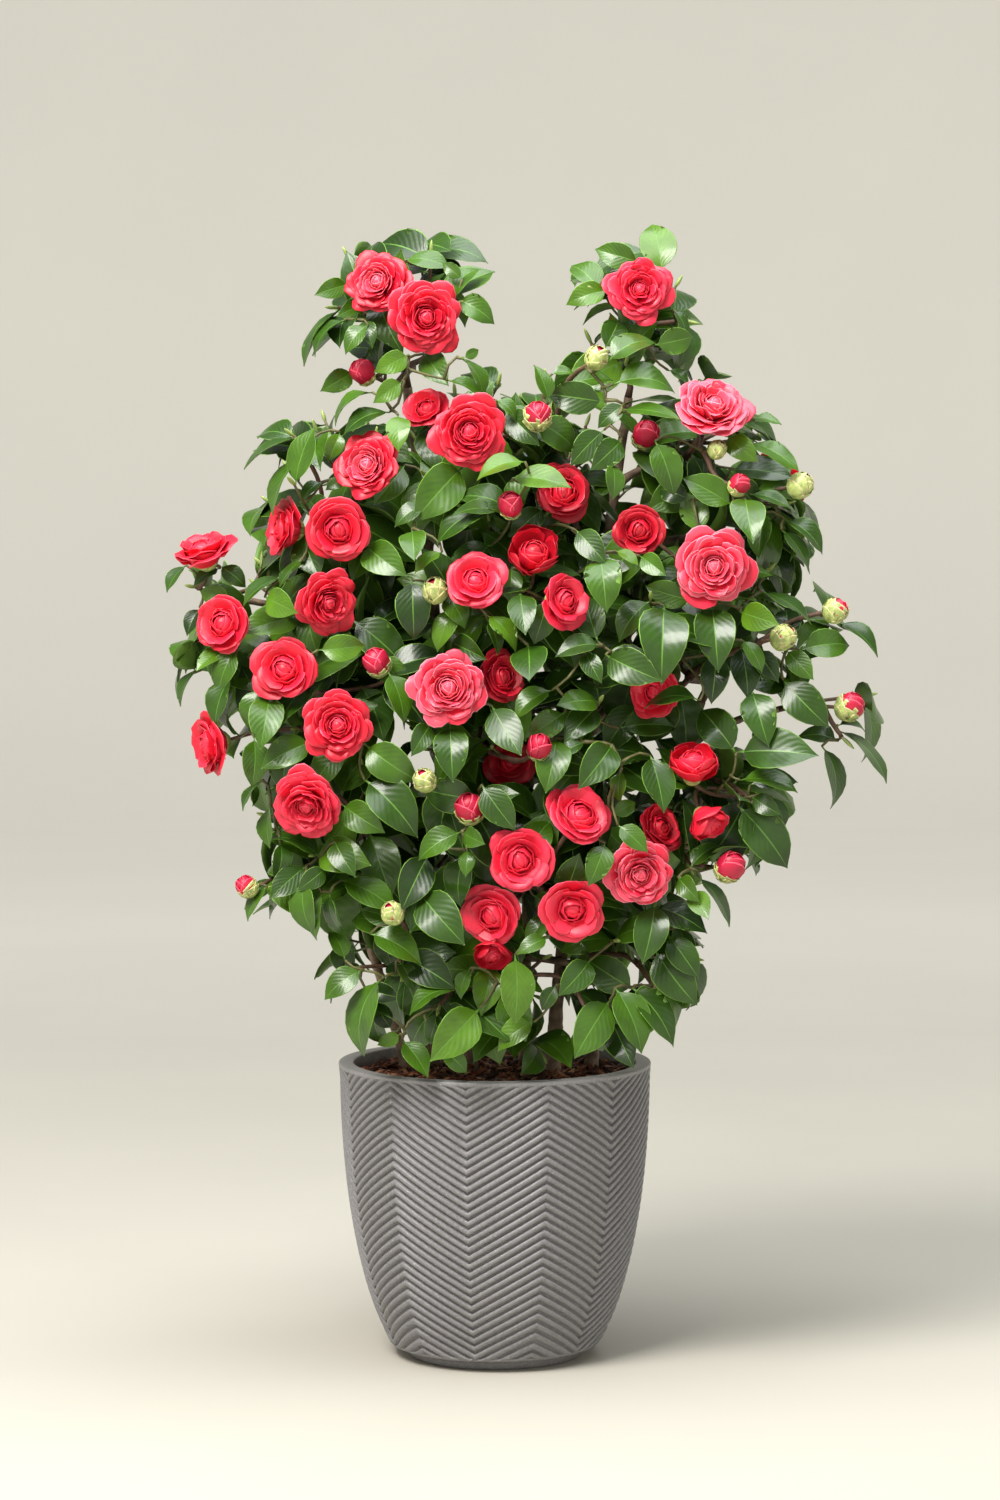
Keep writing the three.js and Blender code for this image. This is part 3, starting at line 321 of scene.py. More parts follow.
# Finer shoots, between the ones that the solids have
FINE_SPACING = 54.0
FINE_TRIES = 420
FINE_SHELL = (0.45, 0.86)
FINE_TIP_RADIUS = 1.3
FINE_FORK_CLEARANCE = 8.0
FINE_FORKS_TRIED = 24
SHORTEST_FINE_SHOOT = 20.0

# Leaves: their real size, and the spiral in which they stand
LEAF_LENGTHS = (66.0, 94.0)
LEAF_WIDTH_SHARES = (0.52, 0.62)
STALK_SHARE = 0.09
LEAF_THICKNESS = 0.7
LEAF_SPACINGS = (8.0, 4.0)
LEAFY_LENGTH = 104.0
LEAF_REACH = 1.15
LEAF_TRIES = 14
LEAF_TRY_TURN = 1.05
LEAF_APART = 14.0
SHOOT_TURN = 1.7
GOLDEN_ANGLE = math.radians(137.5)
LEAF_FORWARD = 0.4
LEAF_OUTWARD = 0.85
LEAF_DROOP = 0.3
LEAF_DROOP_SPREAD = 0.4
LEAF_STRAY = 0.7
FACE_UPWARD = 0.75
FACE_OUTWARD = 0.6
FACE_ALONG = 0.25
FRONT_WORTH = 1.4
FULLY_OUTWARD = 60.0
FIRST_LEAF_SHARE = 0.8
LEAF_SHARE_STEP = 0.1
SHRUNK_LEAF_SHARE = 0.82
LEAF_FROM_END = 3.0
LEAF_FROM_FORK = 5.0
BARE_END = 3.0
SPIRAL_REFERENCE = np.array([0.3, 0.2, 1.0]) / np.linalg.norm([0.3, 0.2, 1.0])

# Leaves: what they keep clear of
SIGHT_SHARE = 0.86
LEAF_DIP = 14.0
LEAF_FLOWER_MARGIN = 1.0
LEAF_WOOD_MARGIN = 1.0
LEAF_TIP_DROP = 0.06
LEAF_CREST = 0.05
CROSSING_REACH = 1.15
EDGE_CHECKS = np.array([0.25, 0.5, 0.75, 1.0])

# Openings through the crown that the photograph shows, as ellipses in the plane y = 0: x, z, half
# width, half height
OPENINGS = np.array([
    (336, 672, 18, 27), (296, 637, 25, 18), (238, 653, 19, 32), (195, 672, 14, 18), (-130, 943, 30, 15),
    (-72, 592, 15, 18), (91, 937, 18, 13), (169, 964, 19, 9), (272, 714, 14, 14), (-53, 964, 26, 8),
    (-94, 620, 10, 15), (126, 960, 12, 9), (141, 715, 9, 8), (55, 399, 10, 10), (-82, 982, 20, 24),
    (-166, 879, 8, 12), (-227, 749, 11, 9), (221, 906, 24, 10), (186, 458, 10, 9), (213, 479, 10, 9),
    (147, 376, 12, 10), (173, 317, 22, 12), (-145, 345, 12, 22), (-202, 406, 36, 36), (-261, 518, 34, 58),
    (37, 1030, 32, 76), (12, 1007, 14, 34), (-185, 961, 40, 24), (-270, 884, 26, 50), (-247, 795, 12, 36),
    (297, 958, 34, 44), (280, 451, 42, 46), (-307, 749, 11, 27), (-296, 659, 15, 22), (129, 901, 9, 22),
    (-193, 1119, 40, 35), (-74, 1139, 60, 18), (-17, 1010, 14, 18), (-243, 955, 45, 24), (-211, 870, 12, 18),
    (-268, 855, 25, 20), (-300, 880, 60, 34), (90, 1114, 20, 20), (204, 1094, 34, 34), (228, 1015, 32, 30),
    (85, 1020, 18, 24), (263, 975, 22, 30), (353, 815, 20, 60), (333, 885, 22, 44), (376, 755, 20, 34),
    (348, 560, 34, 60), (323, 506, 28, 40), (263, 396, 44, 60), (229, 371, 22, 50), (-298, 506, 44, 66),
    (-193, 346, 18, 32), (-238, 396, 32, 36), (-326, 596, 20, 44), (-344, 735, 14, 34), (-60, 985, 26, 22),
    (-324, 818, 16, 24),
], float)

# Leaves as the photograph shows them: its pixel across and down at the base and at the tip, width in
# pixels, tone from deep to fresh, which is the leaf's own green with painted shade on the leaves that lie in
# shadow
SEEN_LEAVES = [
    (405, 260, 452, 266, 18, 2), (462, 279, 446, 265, 14, 2), (458, 300, 499, 319, 24, 2),
    (348, 284, 315, 295, 20, 2), (366, 304, 338, 314, 20, 2), (345, 320, 305, 350, 12, 1),
    (368, 325, 342, 352, 17, 2), (365, 320, 370, 345, 18, 1), (408, 355, 378, 373, 22, 3),
    (380, 358, 350, 364, 8, 0), (354, 372, 322, 392, 22, 2), (424, 354, 449, 387, 28, 2),
    (402, 382, 372, 401, 20, 3), (448, 380, 488, 396, 12, 2), (458, 356, 500, 390, 8, 2),
    (464, 358, 480, 350, 10, 2), (390, 412, 339, 427, 15, 1), (372, 392, 325, 415, 8, 2),
    (398, 415, 400, 445, 24, 3), (505, 412, 543, 443, 28, 1), (496, 400, 523, 414, 12, 2),
    (549, 402, 534, 365, 16, 2), (605, 402, 551, 394, 32, 1), (552, 374, 575, 370, 9, 2),
    (662, 274, 658, 229, 36, 3), (640, 262, 600, 251, 26, 2), (608, 290, 564, 301, 24, 3),
    (604, 350, 622, 318, 26, 1), (608, 362, 656, 328, 24, 2), (654, 345, 684, 340, 26, 2),
    (614, 384, 680, 370, 26, 2), (668, 370, 695, 380, 10, 1), (674, 310, 688, 336, 12, 1),
    (625, 405, 595, 425, 18, 1), (622, 410, 680, 425, 16, 2), (655, 441, 676, 496, 30, 2),
    (604, 430, 568, 462, 26, 1), (622, 440, 594, 468, 26, 1), (727, 436, 751, 462, 24, 3),
    (752, 418, 781, 424, 10, 2), (298, 438, 242, 467, 9, 1), (300, 457, 264, 511, 16, 2),
    (322, 482, 298, 500, 12, 1), (345, 478, 327, 492, 12, 2), (340, 432, 330, 462, 18, 3),
    (405, 465, 375, 504, 30, 2), (365, 545, 401, 578, 34, 2), (366, 548, 355, 579, 22, 2),
    (302, 560, 280, 590, 12, 1), (282, 577, 243, 605, 12, 1), (265, 597, 303, 612, 28, 3),
    (302, 617, 240, 638, 32, 3), (232, 600, 197, 590, 20, 3), (200, 608, 185, 635, 16, 0),
    (225, 648, 196, 672, 16, 3), (236, 650, 212, 692, 24, 2), (198, 668, 176, 704, 8, 1),
    (318, 650, 366, 648, 26, 3), (352, 620, 412, 662, 38, 1), (380, 656, 408, 690, 26, 2),
    (186, 565, 166, 591, 12, 1), (220, 566, 249, 585, 18, 1), (220, 568, 190, 580, 12, 1),
    (462, 468, 419, 509, 42, 2), (525, 462, 473, 475, 18, 3), (512, 478, 572, 488, 24, 3),
    (495, 508, 430, 534, 24, 1), (500, 512, 450, 512, 14, 1), (425, 505, 391, 520, 16, 1),
    (412, 530, 418, 565, 26, 2), (442, 552, 412, 570, 12, 3), (492, 545, 442, 563, 14, 1),
    (412, 580, 415, 633, 34, 0), (457, 608, 434, 650, 22, 3), (450, 642, 488, 655, 26, 1),
    (512, 568, 508, 600, 22, 2), (520, 592, 525, 632, 28, 1), (487, 615, 522, 648, 18, 3),
    (488, 620, 498, 655, 14, 1), (544, 508, 512, 540, 24, 1), (538, 532, 575, 515, 22, 1),
    (576, 530, 607, 562, 26, 1), (600, 556, 606, 599, 36, 2), (616, 551, 641, 561, 10, 3),
    (598, 642, 584, 604, 30, 1), (528, 645, 535, 679, 36, 1), (606, 655, 655, 682, 36, 1),
    (600, 645, 553, 645, 18, 1), (585, 652, 598, 682, 20, 1), (612, 462, 612, 500, 18, 2),
    (733, 506, 683, 482, 28, 2), (690, 500, 655, 482, 22, 0), (745, 498, 745, 543, 34, 2),
    (730, 470, 792, 478, 24, 1), (755, 490, 808, 487, 22, 2), (750, 442, 797, 472, 18, 2),
    (750, 494, 790, 508, 12, 1), (700, 535, 695, 511, 28, 3), (785, 520, 830, 543, 16, 1),
    (782, 530, 811, 568, 16, 1), (766, 512, 762, 560, 22, 1), (762, 592, 815, 614, 12, 1),
    (790, 642, 786, 605, 26, 0), (740, 612, 770, 622, 28, 3), (712, 606, 715, 664, 40, 1),
    (664, 606, 655, 665, 48, 1), (692, 600, 650, 592, 26, 2), (640, 556, 668, 574, 20, 2),
    (800, 650, 855, 640, 28, 2), (798, 650, 830, 616, 24, 2), (838, 622, 882, 650, 14, 1),
    (786, 650, 813, 680, 22, 2), (757, 650, 775, 680, 22, 0), (742, 640, 762, 672, 16, 2),
    (716, 655, 712, 700, 28, 0), (740, 645, 750, 700, 30, 0), (232, 675, 210, 724, 20, 1),
    (262, 688, 242, 728, 22, 2), (270, 695, 266, 737, 34, 2), (254, 737, 257, 787, 26, 2),
    (312, 742, 259, 765, 30, 2), (345, 748, 305, 786, 28, 2), (366, 745, 411, 781, 36, 2),
    (343, 805, 379, 828, 30, 2), (365, 780, 424, 832, 40, 1), (270, 805, 267, 847, 14, 2),
    (320, 858, 268, 826, 16, 1), (280, 842, 284, 881, 18, 1), (335, 842, 350, 868, 26, 1),
    (306, 866, 270, 898, 26, 1), (267, 887, 244, 918, 11, 2), (326, 868, 302, 888, 20, 1),
    (305, 880, 302, 937, 26, 2), (322, 893, 310, 938, 14, 2), (330, 893, 330, 942, 12, 1),
    (341, 880, 400, 904, 26, 2), (370, 934, 427, 953, 26, 2), (420, 893, 462, 938, 42, 1),
    (262, 780, 239, 808, 7, 1), (252, 782, 256, 806, 8, 1), (388, 672, 411, 720, 24, 2),
    (450, 725, 453, 775, 34, 1), (430, 725, 412, 750, 22, 1), (500, 748, 462, 772, 24, 0),
    (492, 706, 520, 757, 34, 1), (552, 690, 508, 710, 18, 2), (565, 712, 526, 740, 26, 2),
    (556, 738, 550, 790, 34, 2), (530, 762, 540, 812, 30, 2), (585, 742, 558, 754, 12, 1),
    (612, 745, 585, 779, 34, 1), (638, 705, 598, 748, 32, 1), (622, 770, 614, 802, 14, 2),
    (605, 828, 630, 852, 24, 2), (618, 825, 648, 850, 20, 2), (612, 815, 634, 803, 16, 2),
    (480, 800, 427, 793, 34, 1), (482, 785, 512, 830, 30, 1), (461, 832, 412, 852, 24, 2),
    (463, 833, 489, 842, 20, 2), (466, 852, 451, 907, 26, 1), (467, 850, 468, 872, 16, 2),
    (428, 855, 402, 902, 34, 0), (533, 895, 565, 912, 20, 2), (605, 843, 594, 879, 26, 2),
    (604, 850, 606, 885, 12, 1), (550, 916, 521, 944, 18, 2), (548, 938, 516, 952, 16, 2),
    (700, 700, 641, 697, 14, 1), (620, 728, 674, 722, 26, 1), (650, 755, 662, 815, 32, 1),
    (736, 753, 703, 706, 36, 1), (738, 752, 819, 757, 40, 1), (750, 785, 799, 772, 22, 0),
    (740, 780, 798, 783, 14, 2), (738, 806, 793, 866, 42, 1), (752, 797, 776, 812, 20, 1),
    (772, 797, 787, 826, 14, 1), (752, 690, 762, 738, 34, 1), (783, 680, 823, 730, 36, 1),
    (838, 740, 798, 728, 18, 1), (822, 746, 846, 806, 20, 1), (838, 730, 888, 780, 12, 1),
    (838, 725, 868, 724, 7, 2), (680, 812, 676, 862, 20, 1), (668, 805, 664, 842, 10, 1),
    (662, 812, 640, 826, 16, 1), (690, 868, 720, 835, 16, 1), (678, 878, 698, 895, 20, 2),
    (693, 890, 706, 918, 22, 3), (698, 876, 733, 923, 12, 1), (655, 906, 708, 929, 26, 0),
    (655, 902, 648, 962, 34, 1), (668, 935, 697, 978, 28, 1), (655, 950, 690, 1007, 38, 1),
    (632, 988, 684, 1034, 30, 1), (615, 988, 647, 1050, 34, 2), (610, 1000, 571, 1048, 38, 2),
    (612, 1022, 632, 1058, 32, 0), (590, 960, 566, 990, 28, 1), (635, 990, 590, 965, 34, 1),
    (515, 955, 518, 1022, 34, 3), (492, 965, 482, 1012, 30, 3), (470, 968, 455, 998, 14, 2),
    (556, 985, 540, 1010, 16, 1), (534, 1022, 492, 1043, 22, 3), (480, 1008, 430, 1053, 40, 3),
    (402, 1040, 430, 1076, 22, 2), (442, 1050, 471, 1070, 18, 2), (400, 1034, 378, 1045, 14, 3),
    (382, 978, 338, 1049, 24, 2), (362, 970, 319, 993, 24, 2), (365, 988, 400, 1000, 20, 0),
    (392, 1018, 348, 1005, 8, 1), (392, 1030, 372, 1002, 20, 0), (345, 960, 335, 925, 18, 2),
    (400, 955, 458, 984, 34, 0), (400, 962, 417, 990, 16, 1), (455, 990, 402, 1000, 12, 2),
    (440, 1012, 427, 1045, 18, 1),
]

# How the leaves of the photograph are turned, set in depth and carried
SEEN_SHAPE = 0.54
SEEN_LENGTHENING = 1.06
SEEN_SET_BACKS = (26.0, 14.0, 8.0, 4.0)
SEEN_SHIFTS = (0.0, 8.0, -8.0, 16.0, -16.0, 26.0, 38.0, 52.0, 70.0, 90.0)
SEEN_SHARE = 0.8
NARROWEST_SEEN = 6.0
RISING_LEAN = 0.35
LONGEST_TWIG = 95.0
TWIG_CHECKS = np.linspace(0.2, 1, 6)
SEEN_TWIG_RISE = 0.4
SEEN_TWIG_BEND = 0.3

# Bare wood as the photograph shows it: its pixel across and down at both ends
BARE_WOOD = [
    (356, 920, 397, 1050),
    (562, 950, 550, 1045),
    (540, 1040, 560, 1000),
    (605, 960, 600, 1000),
    (404, 370, 415, 460),
]
BARE_WOOD_ROOM = 26.0
BARE_WOOD_DEPTH = 20.0

# Wood: spacing of the rings, sides, how it swells or is trimmed by its start, and its bark relief
BARK_SPACING = 4.0
BARK_SIDES = 12
BOUGH_COLLAR = 0.45
FLARE_TRIM = 0.58
COLLAR_REACH = 16.0
TWIG_RING_SPACING = 9.0
TWIG_SIDES = 6
FINE_SIDES = 5
TWIG_COLLAR = 0.5
TWIG_COLLAR_REACH = 4.0
TWIG_RELIEF = 0.8
RIDGES = ((0.04, 0.01, 0.05), (0.03, 0.1, 0.35))
RIDGES_OF_A_KIND = 5
MOST_RIDGE_TURNS = 5
FIRST_SCARS = (5, 20)
SCAR_STEPS = (16, 34)
SCAR_WIDTH = 1.8
SCAR_RING = 0.09
SCAR_KNOT = 0.2
LEAF_BUD_SUNK = 0.15
LEAF_BUD_S = np.linspace(-LEAF_BUD_SUNK, 1, 7)
LEAF_BUD_SWELL = np.sin(np.clip((LEAF_BUD_S + 0.2) / 1.25, 0, 1) * math.pi) ** 0.8
LEAF_BUD_RADIUS = 2.0
LEAF_BUD_TIP_RADIUS = 0.15
LEAF_BUD_LENGTHS = (11, 18)

# Leaves: shares along the blade, its half width there, and the columns of the upper and under side
LEAF_S = np.array([0, 0.05, 0.09, 0.15, 0.25, 0.37, 0.5, 0.63, 0.75, 0.85, 0.92, 0.97, 1.0])
LEAF_HALF = np.array([0.045, 0.04, 0.08, 0.46, 0.83, 0.99, 1.0, 0.9, 0.7, 0.42, 0.2, 0.07, 0.012])
TOP_COLUMNS = np.array([-1, -0.955, -0.55, -0.035, 0.035, 0.55, 0.955, 1.0])
UNDER_COLUMNS = np.array([-1, -0.5, 0.0, 0.5, 1.0])
LEAF_FOLDS = (0.1, 0.5)
LEAF_LIFTS = (0.15, 0.4)
LEAF_ARCHES = (0.5, 1.5)
LEAF_SWAYS = (-0.1, 0.1)
LEAF_TWISTS = (-0.4, 0.4)
LEAF_WAVES = (0.3, 1.6)
ARCH_POWER = 1.3
FOLD_FLATTENING = 0.3
TWIST_PIVOT = 0.3
WAVE_PACE = 9
WAVE_SHIFT = 0.9
WAVE_FULL_FROM = 8
UNDER_RIB = 0.5
UNDER_RIB_HALF = 0.1

# Greens of the leaves, from deep to fresh, whose deeper tones partly stand for painted shade, with their
# tones, veins and pale specks on concrete that are painted glints
LEAF_GREENS = {
    "leaf_deep": (0.012, 0.036, 0.003),
    "leaf_green": (0.022, 0.063, 0.003),
    "leaf_mid": (0.041, 0.106, 0.004),
    "leaf_fresh": (0.066, 0.152, 0.005),
}
TONE_STEPS = (0.32, 0.62, 0.9)
TONE_PACES = (0.37, 0.61)
SHOOT_TONE_SHARE = 0.5
VEIN_PACE = 56.0
VEIN_SLANT = 40.0
VEIN_BUMP = 0.13
BUMP_DISTANCE = 0.0006
# Painted glints: pale specks mixed into the concrete's base colour
GLINT_SCALE = 520.0
GLINTS_FROM = 0.74
GLINT_EDGE = 0.03
RAMP_PLACES = (0.34, 0.66)
COLOUR_DETAIL = 3.0
BUMP_DETAIL = 4.0
LEAF_FINISH = (0.38, 0.2, 45.0, 0.1, 260.0)
PETAL_FINISH = (0.45, 0.1, 70.0, 0.1, 300.0)

# Blooms: rings of petals from the outside in, in shares of the radius: petals in the ring, reach
# of their tips, height of their tips, half width, how upright they stand, curl of their sides
RINGS = {
    "full": [
        (8, 1.00, 0.00, 0.45, 0.04, -0.05),
        (8, 0.89, 0.08, 0.40, 0.10, -0.02),
        (7, 0.77, 0.14, 0.37, 0.16, 0.0),
        (7, 0.66, 0.19, 0.32, 0.22, 0.02),
        (6, 0.55, 0.23, 0.29, 0.28, 0.03),
        (6, 0.45, 0.26, 0.24, 0.34, 0.03),
        (5, 0.36, 0.28, 0.21, 0.40, 0.03),
    ],
    "open": [
        (5, 1.00, 0.02, 0.62, 0.05, -0.05),
        (5, 0.87, 0.13, 0.56, 0.14, 0.0),
        (5, 0.72, 0.23, 0.46, 0.26, 0.02),
    ],
    "cup": [
        (5, 1.00, 0.30, 0.70, 0.55, 0.04),
        (4, 0.80, 0.48, 0.62, 0.75, 0.0),
    ],
}

# Hearts of the blooms, petals wrapped round a ball: the ball's radius, height of its middle, its
# length as a share of its radius, then rows of how many petals, half turn, start, end and distance
HEARTS = {
    "full": (0.26, 0.11, 0.8, [(4, 1.0, 0.6, 1.95, 1.0), (3, 1.25, 0.6, 2.25, 0.84),
                               (3, 1.4, 0.6, 2.8, 0.66)]),
    "open": (0.52, -0.08, 0.85, [(3, 1.2, 0.5, 1.85, 1.0), (3, 1.3, 0.5, 2.2, 0.88),
                                 (3, 1.45, 0.5, 2.55, 0.74), (2, 1.6, 0.5, 2.9, 0.6)]),
    "cup": (0.60, -0.06, 1.15, [(3, 1.3, 0.5, 2.2, 1.0), (3, 1.4, 0.5, 2.55, 0.92),
                                (2, 1.6, 0.5, 2.9, 0.84)]),
    "bud": (1.0, 0.0, 1.12, [(3, 1.15, 0.3, 2.5, 1.0), (2, 1.6, 0.3, 2.95, 0.96)]),
}
HEART_SIZES = (0.88, 1.12)
HEART_CORE = 0.9
HEART_CORE_RINGS = 8
HEART_CORE_SIDES = 10
HEART_CORE_TIP = 0.02
EGG_S = np.array([0, 0.3, 0.6, 0.82, 0.95, 1.0])
EGG_T = np.array([-1, -0.9, -0.35, 0.35, 0.9, 1.0])
EGG_THICKNESS = 0.05
EGG_ROUNDING = 0.25
EGG_SHOULDER = 0.7
EGG_ROW_TURN = 0.37
EGG_LENGTHS = (0.95, 1.0)
EGG_STEP_OUT = 0.018

# Petals: shares along and across the grid of one, its outline, and how far petals differ
PETAL_S = np.array([0, 0.25, 0.5, 0.7, 0.86, 0.965, 1.0])
PETAL_T = np.array([-1, -0.94, -0.6, -0.2, 0.2, 0.6, 0.94, 1.0])
PETAL_START = 0.05
PETAL_WAIST = 0.22
PETAL_SHOULDER = 0.62
NOTCH_HALF_WIDTH = 0.25
NOTCH_POWER = 6
KNEE_REACH = 0.55
UPRIGHT_KNEE_REACH = 1.15
KNEE_RISE = 0.08
UPRIGHT_KNEE_RISE = 0.6
UPRIGHT_TIP_PULL = 0.25
LIP_FROM = 0.78
LIP_STEEPNESS = 20
LEAST_ARM = 0.12
MOST_WRAP = 2.4
RUFFLES = (0.4, 1.0)
RUFFLE_PACE = 4.5
RUFFLE_PHASES = 6
TIP_ROUNDING = 0.44
IMBRICATION = 0.05
PETAL_LIP = 0.03
PETAL_THICKNESS = 0.014
PETAL_RUFFLE = 0.06
PETAL_NOTCHES = (0.0, 0.09)
PETAL_TIP_POWERS = (1.6, 2.6)
PETAL_SIZES = (0.82, 1.06)
PETAL_WIDTHS = (0.8, 1.1)
PETAL_LEANS = (-0.14, 0.16)
PETAL_HEIGHT_SPREAD = 0.05
PETAL_CURL_SPREAD = 0.09
PETAL_TURN_SPREAD = 0.26
RING_TURNS = (0.1, 0.5)
HEART_TURN_SPREAD = 0.15
BANDED_SHARE = 0.7
RIMMED_SHARE = 0.8
LEAST_HEART_LEAN = 0.05
HEART_LEAN = 0.25
BLOOM_DEPTH_SHARE = 0.9
BUD_TILT = 0.8
FLOWER_REFERENCE = np.array([0.21, 0.93, 0.3])
LEAST_SCALE_REACH = 1.0
SCALE_OVERLAP = 1.06

# Scales of a bud: how many, half turn, end as a share of the scales' reach, and distance. Scales of
# a calyx have a row of their own, as in HEARTS
BUD_SCALES = ((3, 1.7, 1.0, 1.07), (4, 1.25, 0.86, 1.11), (3, 1.2, 0.6, 1.17))
CALYX_SCALES = [(5, 0.9, 0.0, 1.6, 1.0)]
CALYX_SHARE = 0.36
CALYX_LENGTH = 1.1
CALYX_PLACE = 0.55

# Colours of petals, from deep to pale, and of buds; the deepest red is painted shade
PETAL_COLOURS = {
    # Painted shade: a darker copy of the red for blooms that sit back in the crown's shadow
    "petal_shaded": (0.44, 0.004, 0.018),
    "petal_red": (0.72, 0.009, 0.034),
    "petal_coral": (0.80, 0.022, 0.062),
    "petal_rose": (0.83, 0.070, 0.125),
    "petal_pale": (0.90, 0.25, 0.33),
    "petal_bud": (0.52, 0.008, 0.045),
}
PETAL_SLOTS = list(PETAL_COLOURS)

# Tints of the outer and of the inner rings: body, band near the edge, and rim, whose paler colour is partly
# the petal's own and partly a painted highlight along the edge
TINTS = {
    "red": [("petal_red", "petal_red", "petal_rose"), ("petal_red", "petal_coral", "petal_rose")],
    "coral": [("petal_coral", "petal_coral", "petal_rose"), ("petal_coral", "petal_coral", "petal_rose")],
    "rose": [("petal_coral", "petal_rose", "petal_pale"), ("petal_rose", "petal_rose", "petal_pale")],
    "heart": [("petal_red", "petal_red", "petal_coral"), ("petal_rose", "petal_rose", "petal_pale")],
    # The deep tint paints shade on blooms set back in the crown
    "deep": [("petal_shaded", "petal_shaded", "petal_red"), ("petal_shaded", "petal_red", "petal_coral")],
    "bud": [("petal_bud", "petal_bud", "petal_rose"), ("petal_bud", "petal_bud", "petal_rose")],
}

# Triangles that a piece is filled to, and room for the bloom that comes last
PIECE_TRIANGLES = 190000
BLOOM_TRIANGLES = 12000

# Mulch: bark chips, with ranges for their size, half length, width and height, corners and tilt
CHIP_COUNT = 1500
CHIP_RIM_GAP = 5.0
CHIP_SIZES = (0.4, 1.0)
CHIP_HALVES = ((5, 12), (1.6, 4.2), (0.7, 1.8))
CHIP_CORNERS = (0.5, 1.1)
CHIP_TIPS = (-0.6, 0.6)
CHIP_ROLLS = (-0.5, 0.5)
CHIP_LIFTS = (0.2, 4.6)
CHIP_SHADES = (0.35, 0.8)

# Finishes: colour, roughness, variation and scale of the colour, bump and its scale, pale specks that are
# painted glints
FINISHES = {
    "concrete": ((0.207, 0.202, 0.210), 0.42, 0.16, 420.0, 0.3, 900.0, 0.5),
    # The rim's concrete is paler: a painted highlight on the top that faces the light
    "concrete_rim_lit": ((0.236, 0.231, 0.238), 0.42, 0.12, 420.0, 0.2, 900.0, 0.5),
    "chip_dark": ((0.07, 0.024, 0.014), 0.75, 0.5, 200.0, 0.6, 700.0),
    "chip_red": ((0.22, 0.068, 0.032), 0.7, 0.5, 200.0, 0.6, 700.0),
    "chip_tan": ((0.46, 0.21, 0.11), 0.7, 0.4, 200.0, 0.6, 700.0),
    "soil_dark": ((0.04, 0.018, 0.012), 0.95, 0.5, 150.0, 1.0, 500.0),
    "bark_grey": ((0.27, 0.185, 0.13), 0.7, 0.45, 90.0, 0.8, 350.0),
    "twig_brown": ((0.13, 0.07, 0.045), 0.6, 0.35, 90.0, 0.5, 400.0),
    "twig_young": ((0.10, 0.095, 0.03), 0.55, 0.3, 90.0, 0.4, 400.0),
    "leaf_bud_green": ((0.27, 0.36, 0.09), 0.45, 0.2, 90.0),
    "leaf_rib": ((0.088, 0.20, 0.025), 0.4, 0.15),
    "leaf_margin": ((0.13, 0.27, 0.025), 0.4, 0.15),
    "leaf_under": ((0.11, 0.22, 0.03), 0.5, 0.2),
    "scale_green": ((0.42, 0.50, 0.16), 0.45, 0.3, 160.0),
    "scale_edge": ((0.60, 0.52, 0.26), 0.5, 0.3, 160.0),
    "floor_pale": ((0.478, 0.455, 0.398), 0.8, 0.02, 2.0),
}

# Studio floor and wall, in metres, and the glow that grows outward on them
FLOOR_RADIUS = 6.6
FLOOR_RINGS = (1.5, 3.5)
FLOOR_CURVE = 1.2
BACKDROP_HEIGHT = 5.0
BACKDROP_COLUMNS = 128
GLOW = 1.0
GLOW_FROM = 0.9
GLOW_TO = 4.4
GLOW_COLOUR = (0.345, 0.34, 0.31)
WORLD_COLOUR = (0.97, 0.98, 1.0)
WORLD_STRENGTH = 0.2

# Lamps, which all look at one place: where they stand in metres, their size, power and colour
LIT_PLACE = (0, 0, 0.6)
LAMPS = {
    "key": ((-1.35, -2.1, 3.2), (1.5, 1.5), 205, (1.0, 0.965, 0.92)),
    "fill": ((2.4, -2.6, 1.4), (2.4, 2.4), 8, (0.95, 0.98, 1.0)),
    "sky": ((0.2, -0.4, 3.3), (3.0, 2.4), 130, (0.93, 0.97, 0.98)),
}

UP = np.array([0.0, 0.0, 1.0])


# Vectors
def unit(vector):
    return vector / np.linalg.norm(vector)


def direction_to(start, end):
    return unit(end - start)


def cross_directions(axis, reference):
    """Two directions square to an axis and to each other."""
    side = np.cross(axis, reference)
    if np.linalg.norm(side) < NEARLY_PARALLEL:
        side = np.cross(axis, np.array([1.0, 0.0, 0.0]))
    side = unit(side)
    return side, np.cross(side, axis)


def step_lengths(points):
    return np.linalg.norm(np.diff(points, axis=0), axis=1)


def round_angles(count):
    """Angles at even steps round a full turn."""
    return np.arange(count) / count * FULL_TURN


def quadratic_curve(start, control, end, steps):
    share = np.linspace(0, 1, steps + 1)[:, None]
    return start * (1 - share) ** 2 + control * 2 * share * (1 - share) + end * share ** 2


class Random:
    """Seeded numbers from 0 to 1, by the same rule as in the part's source."""

    FACTOR = 16807
    RANGE = 2147483647
    LEFT_OUT = 4

    def __init__(self, seed):
        self.state = seed
        for _ in range(self.LEFT_OUT):
            self()

    def __call__(self):
        self.state = (self.state * self.FACTOR) % self.RANGE
        return self.state / self.RANGE

    def between(self, low, high):
        return low + (high - low) * self()

    def angle(self):
        return self() * FULL_TURN

    def jitter(self):
        """A vector whose parts lie between -0.5 and 0.5."""
        return np.array([self() - 0.5 for _ in range(3)])


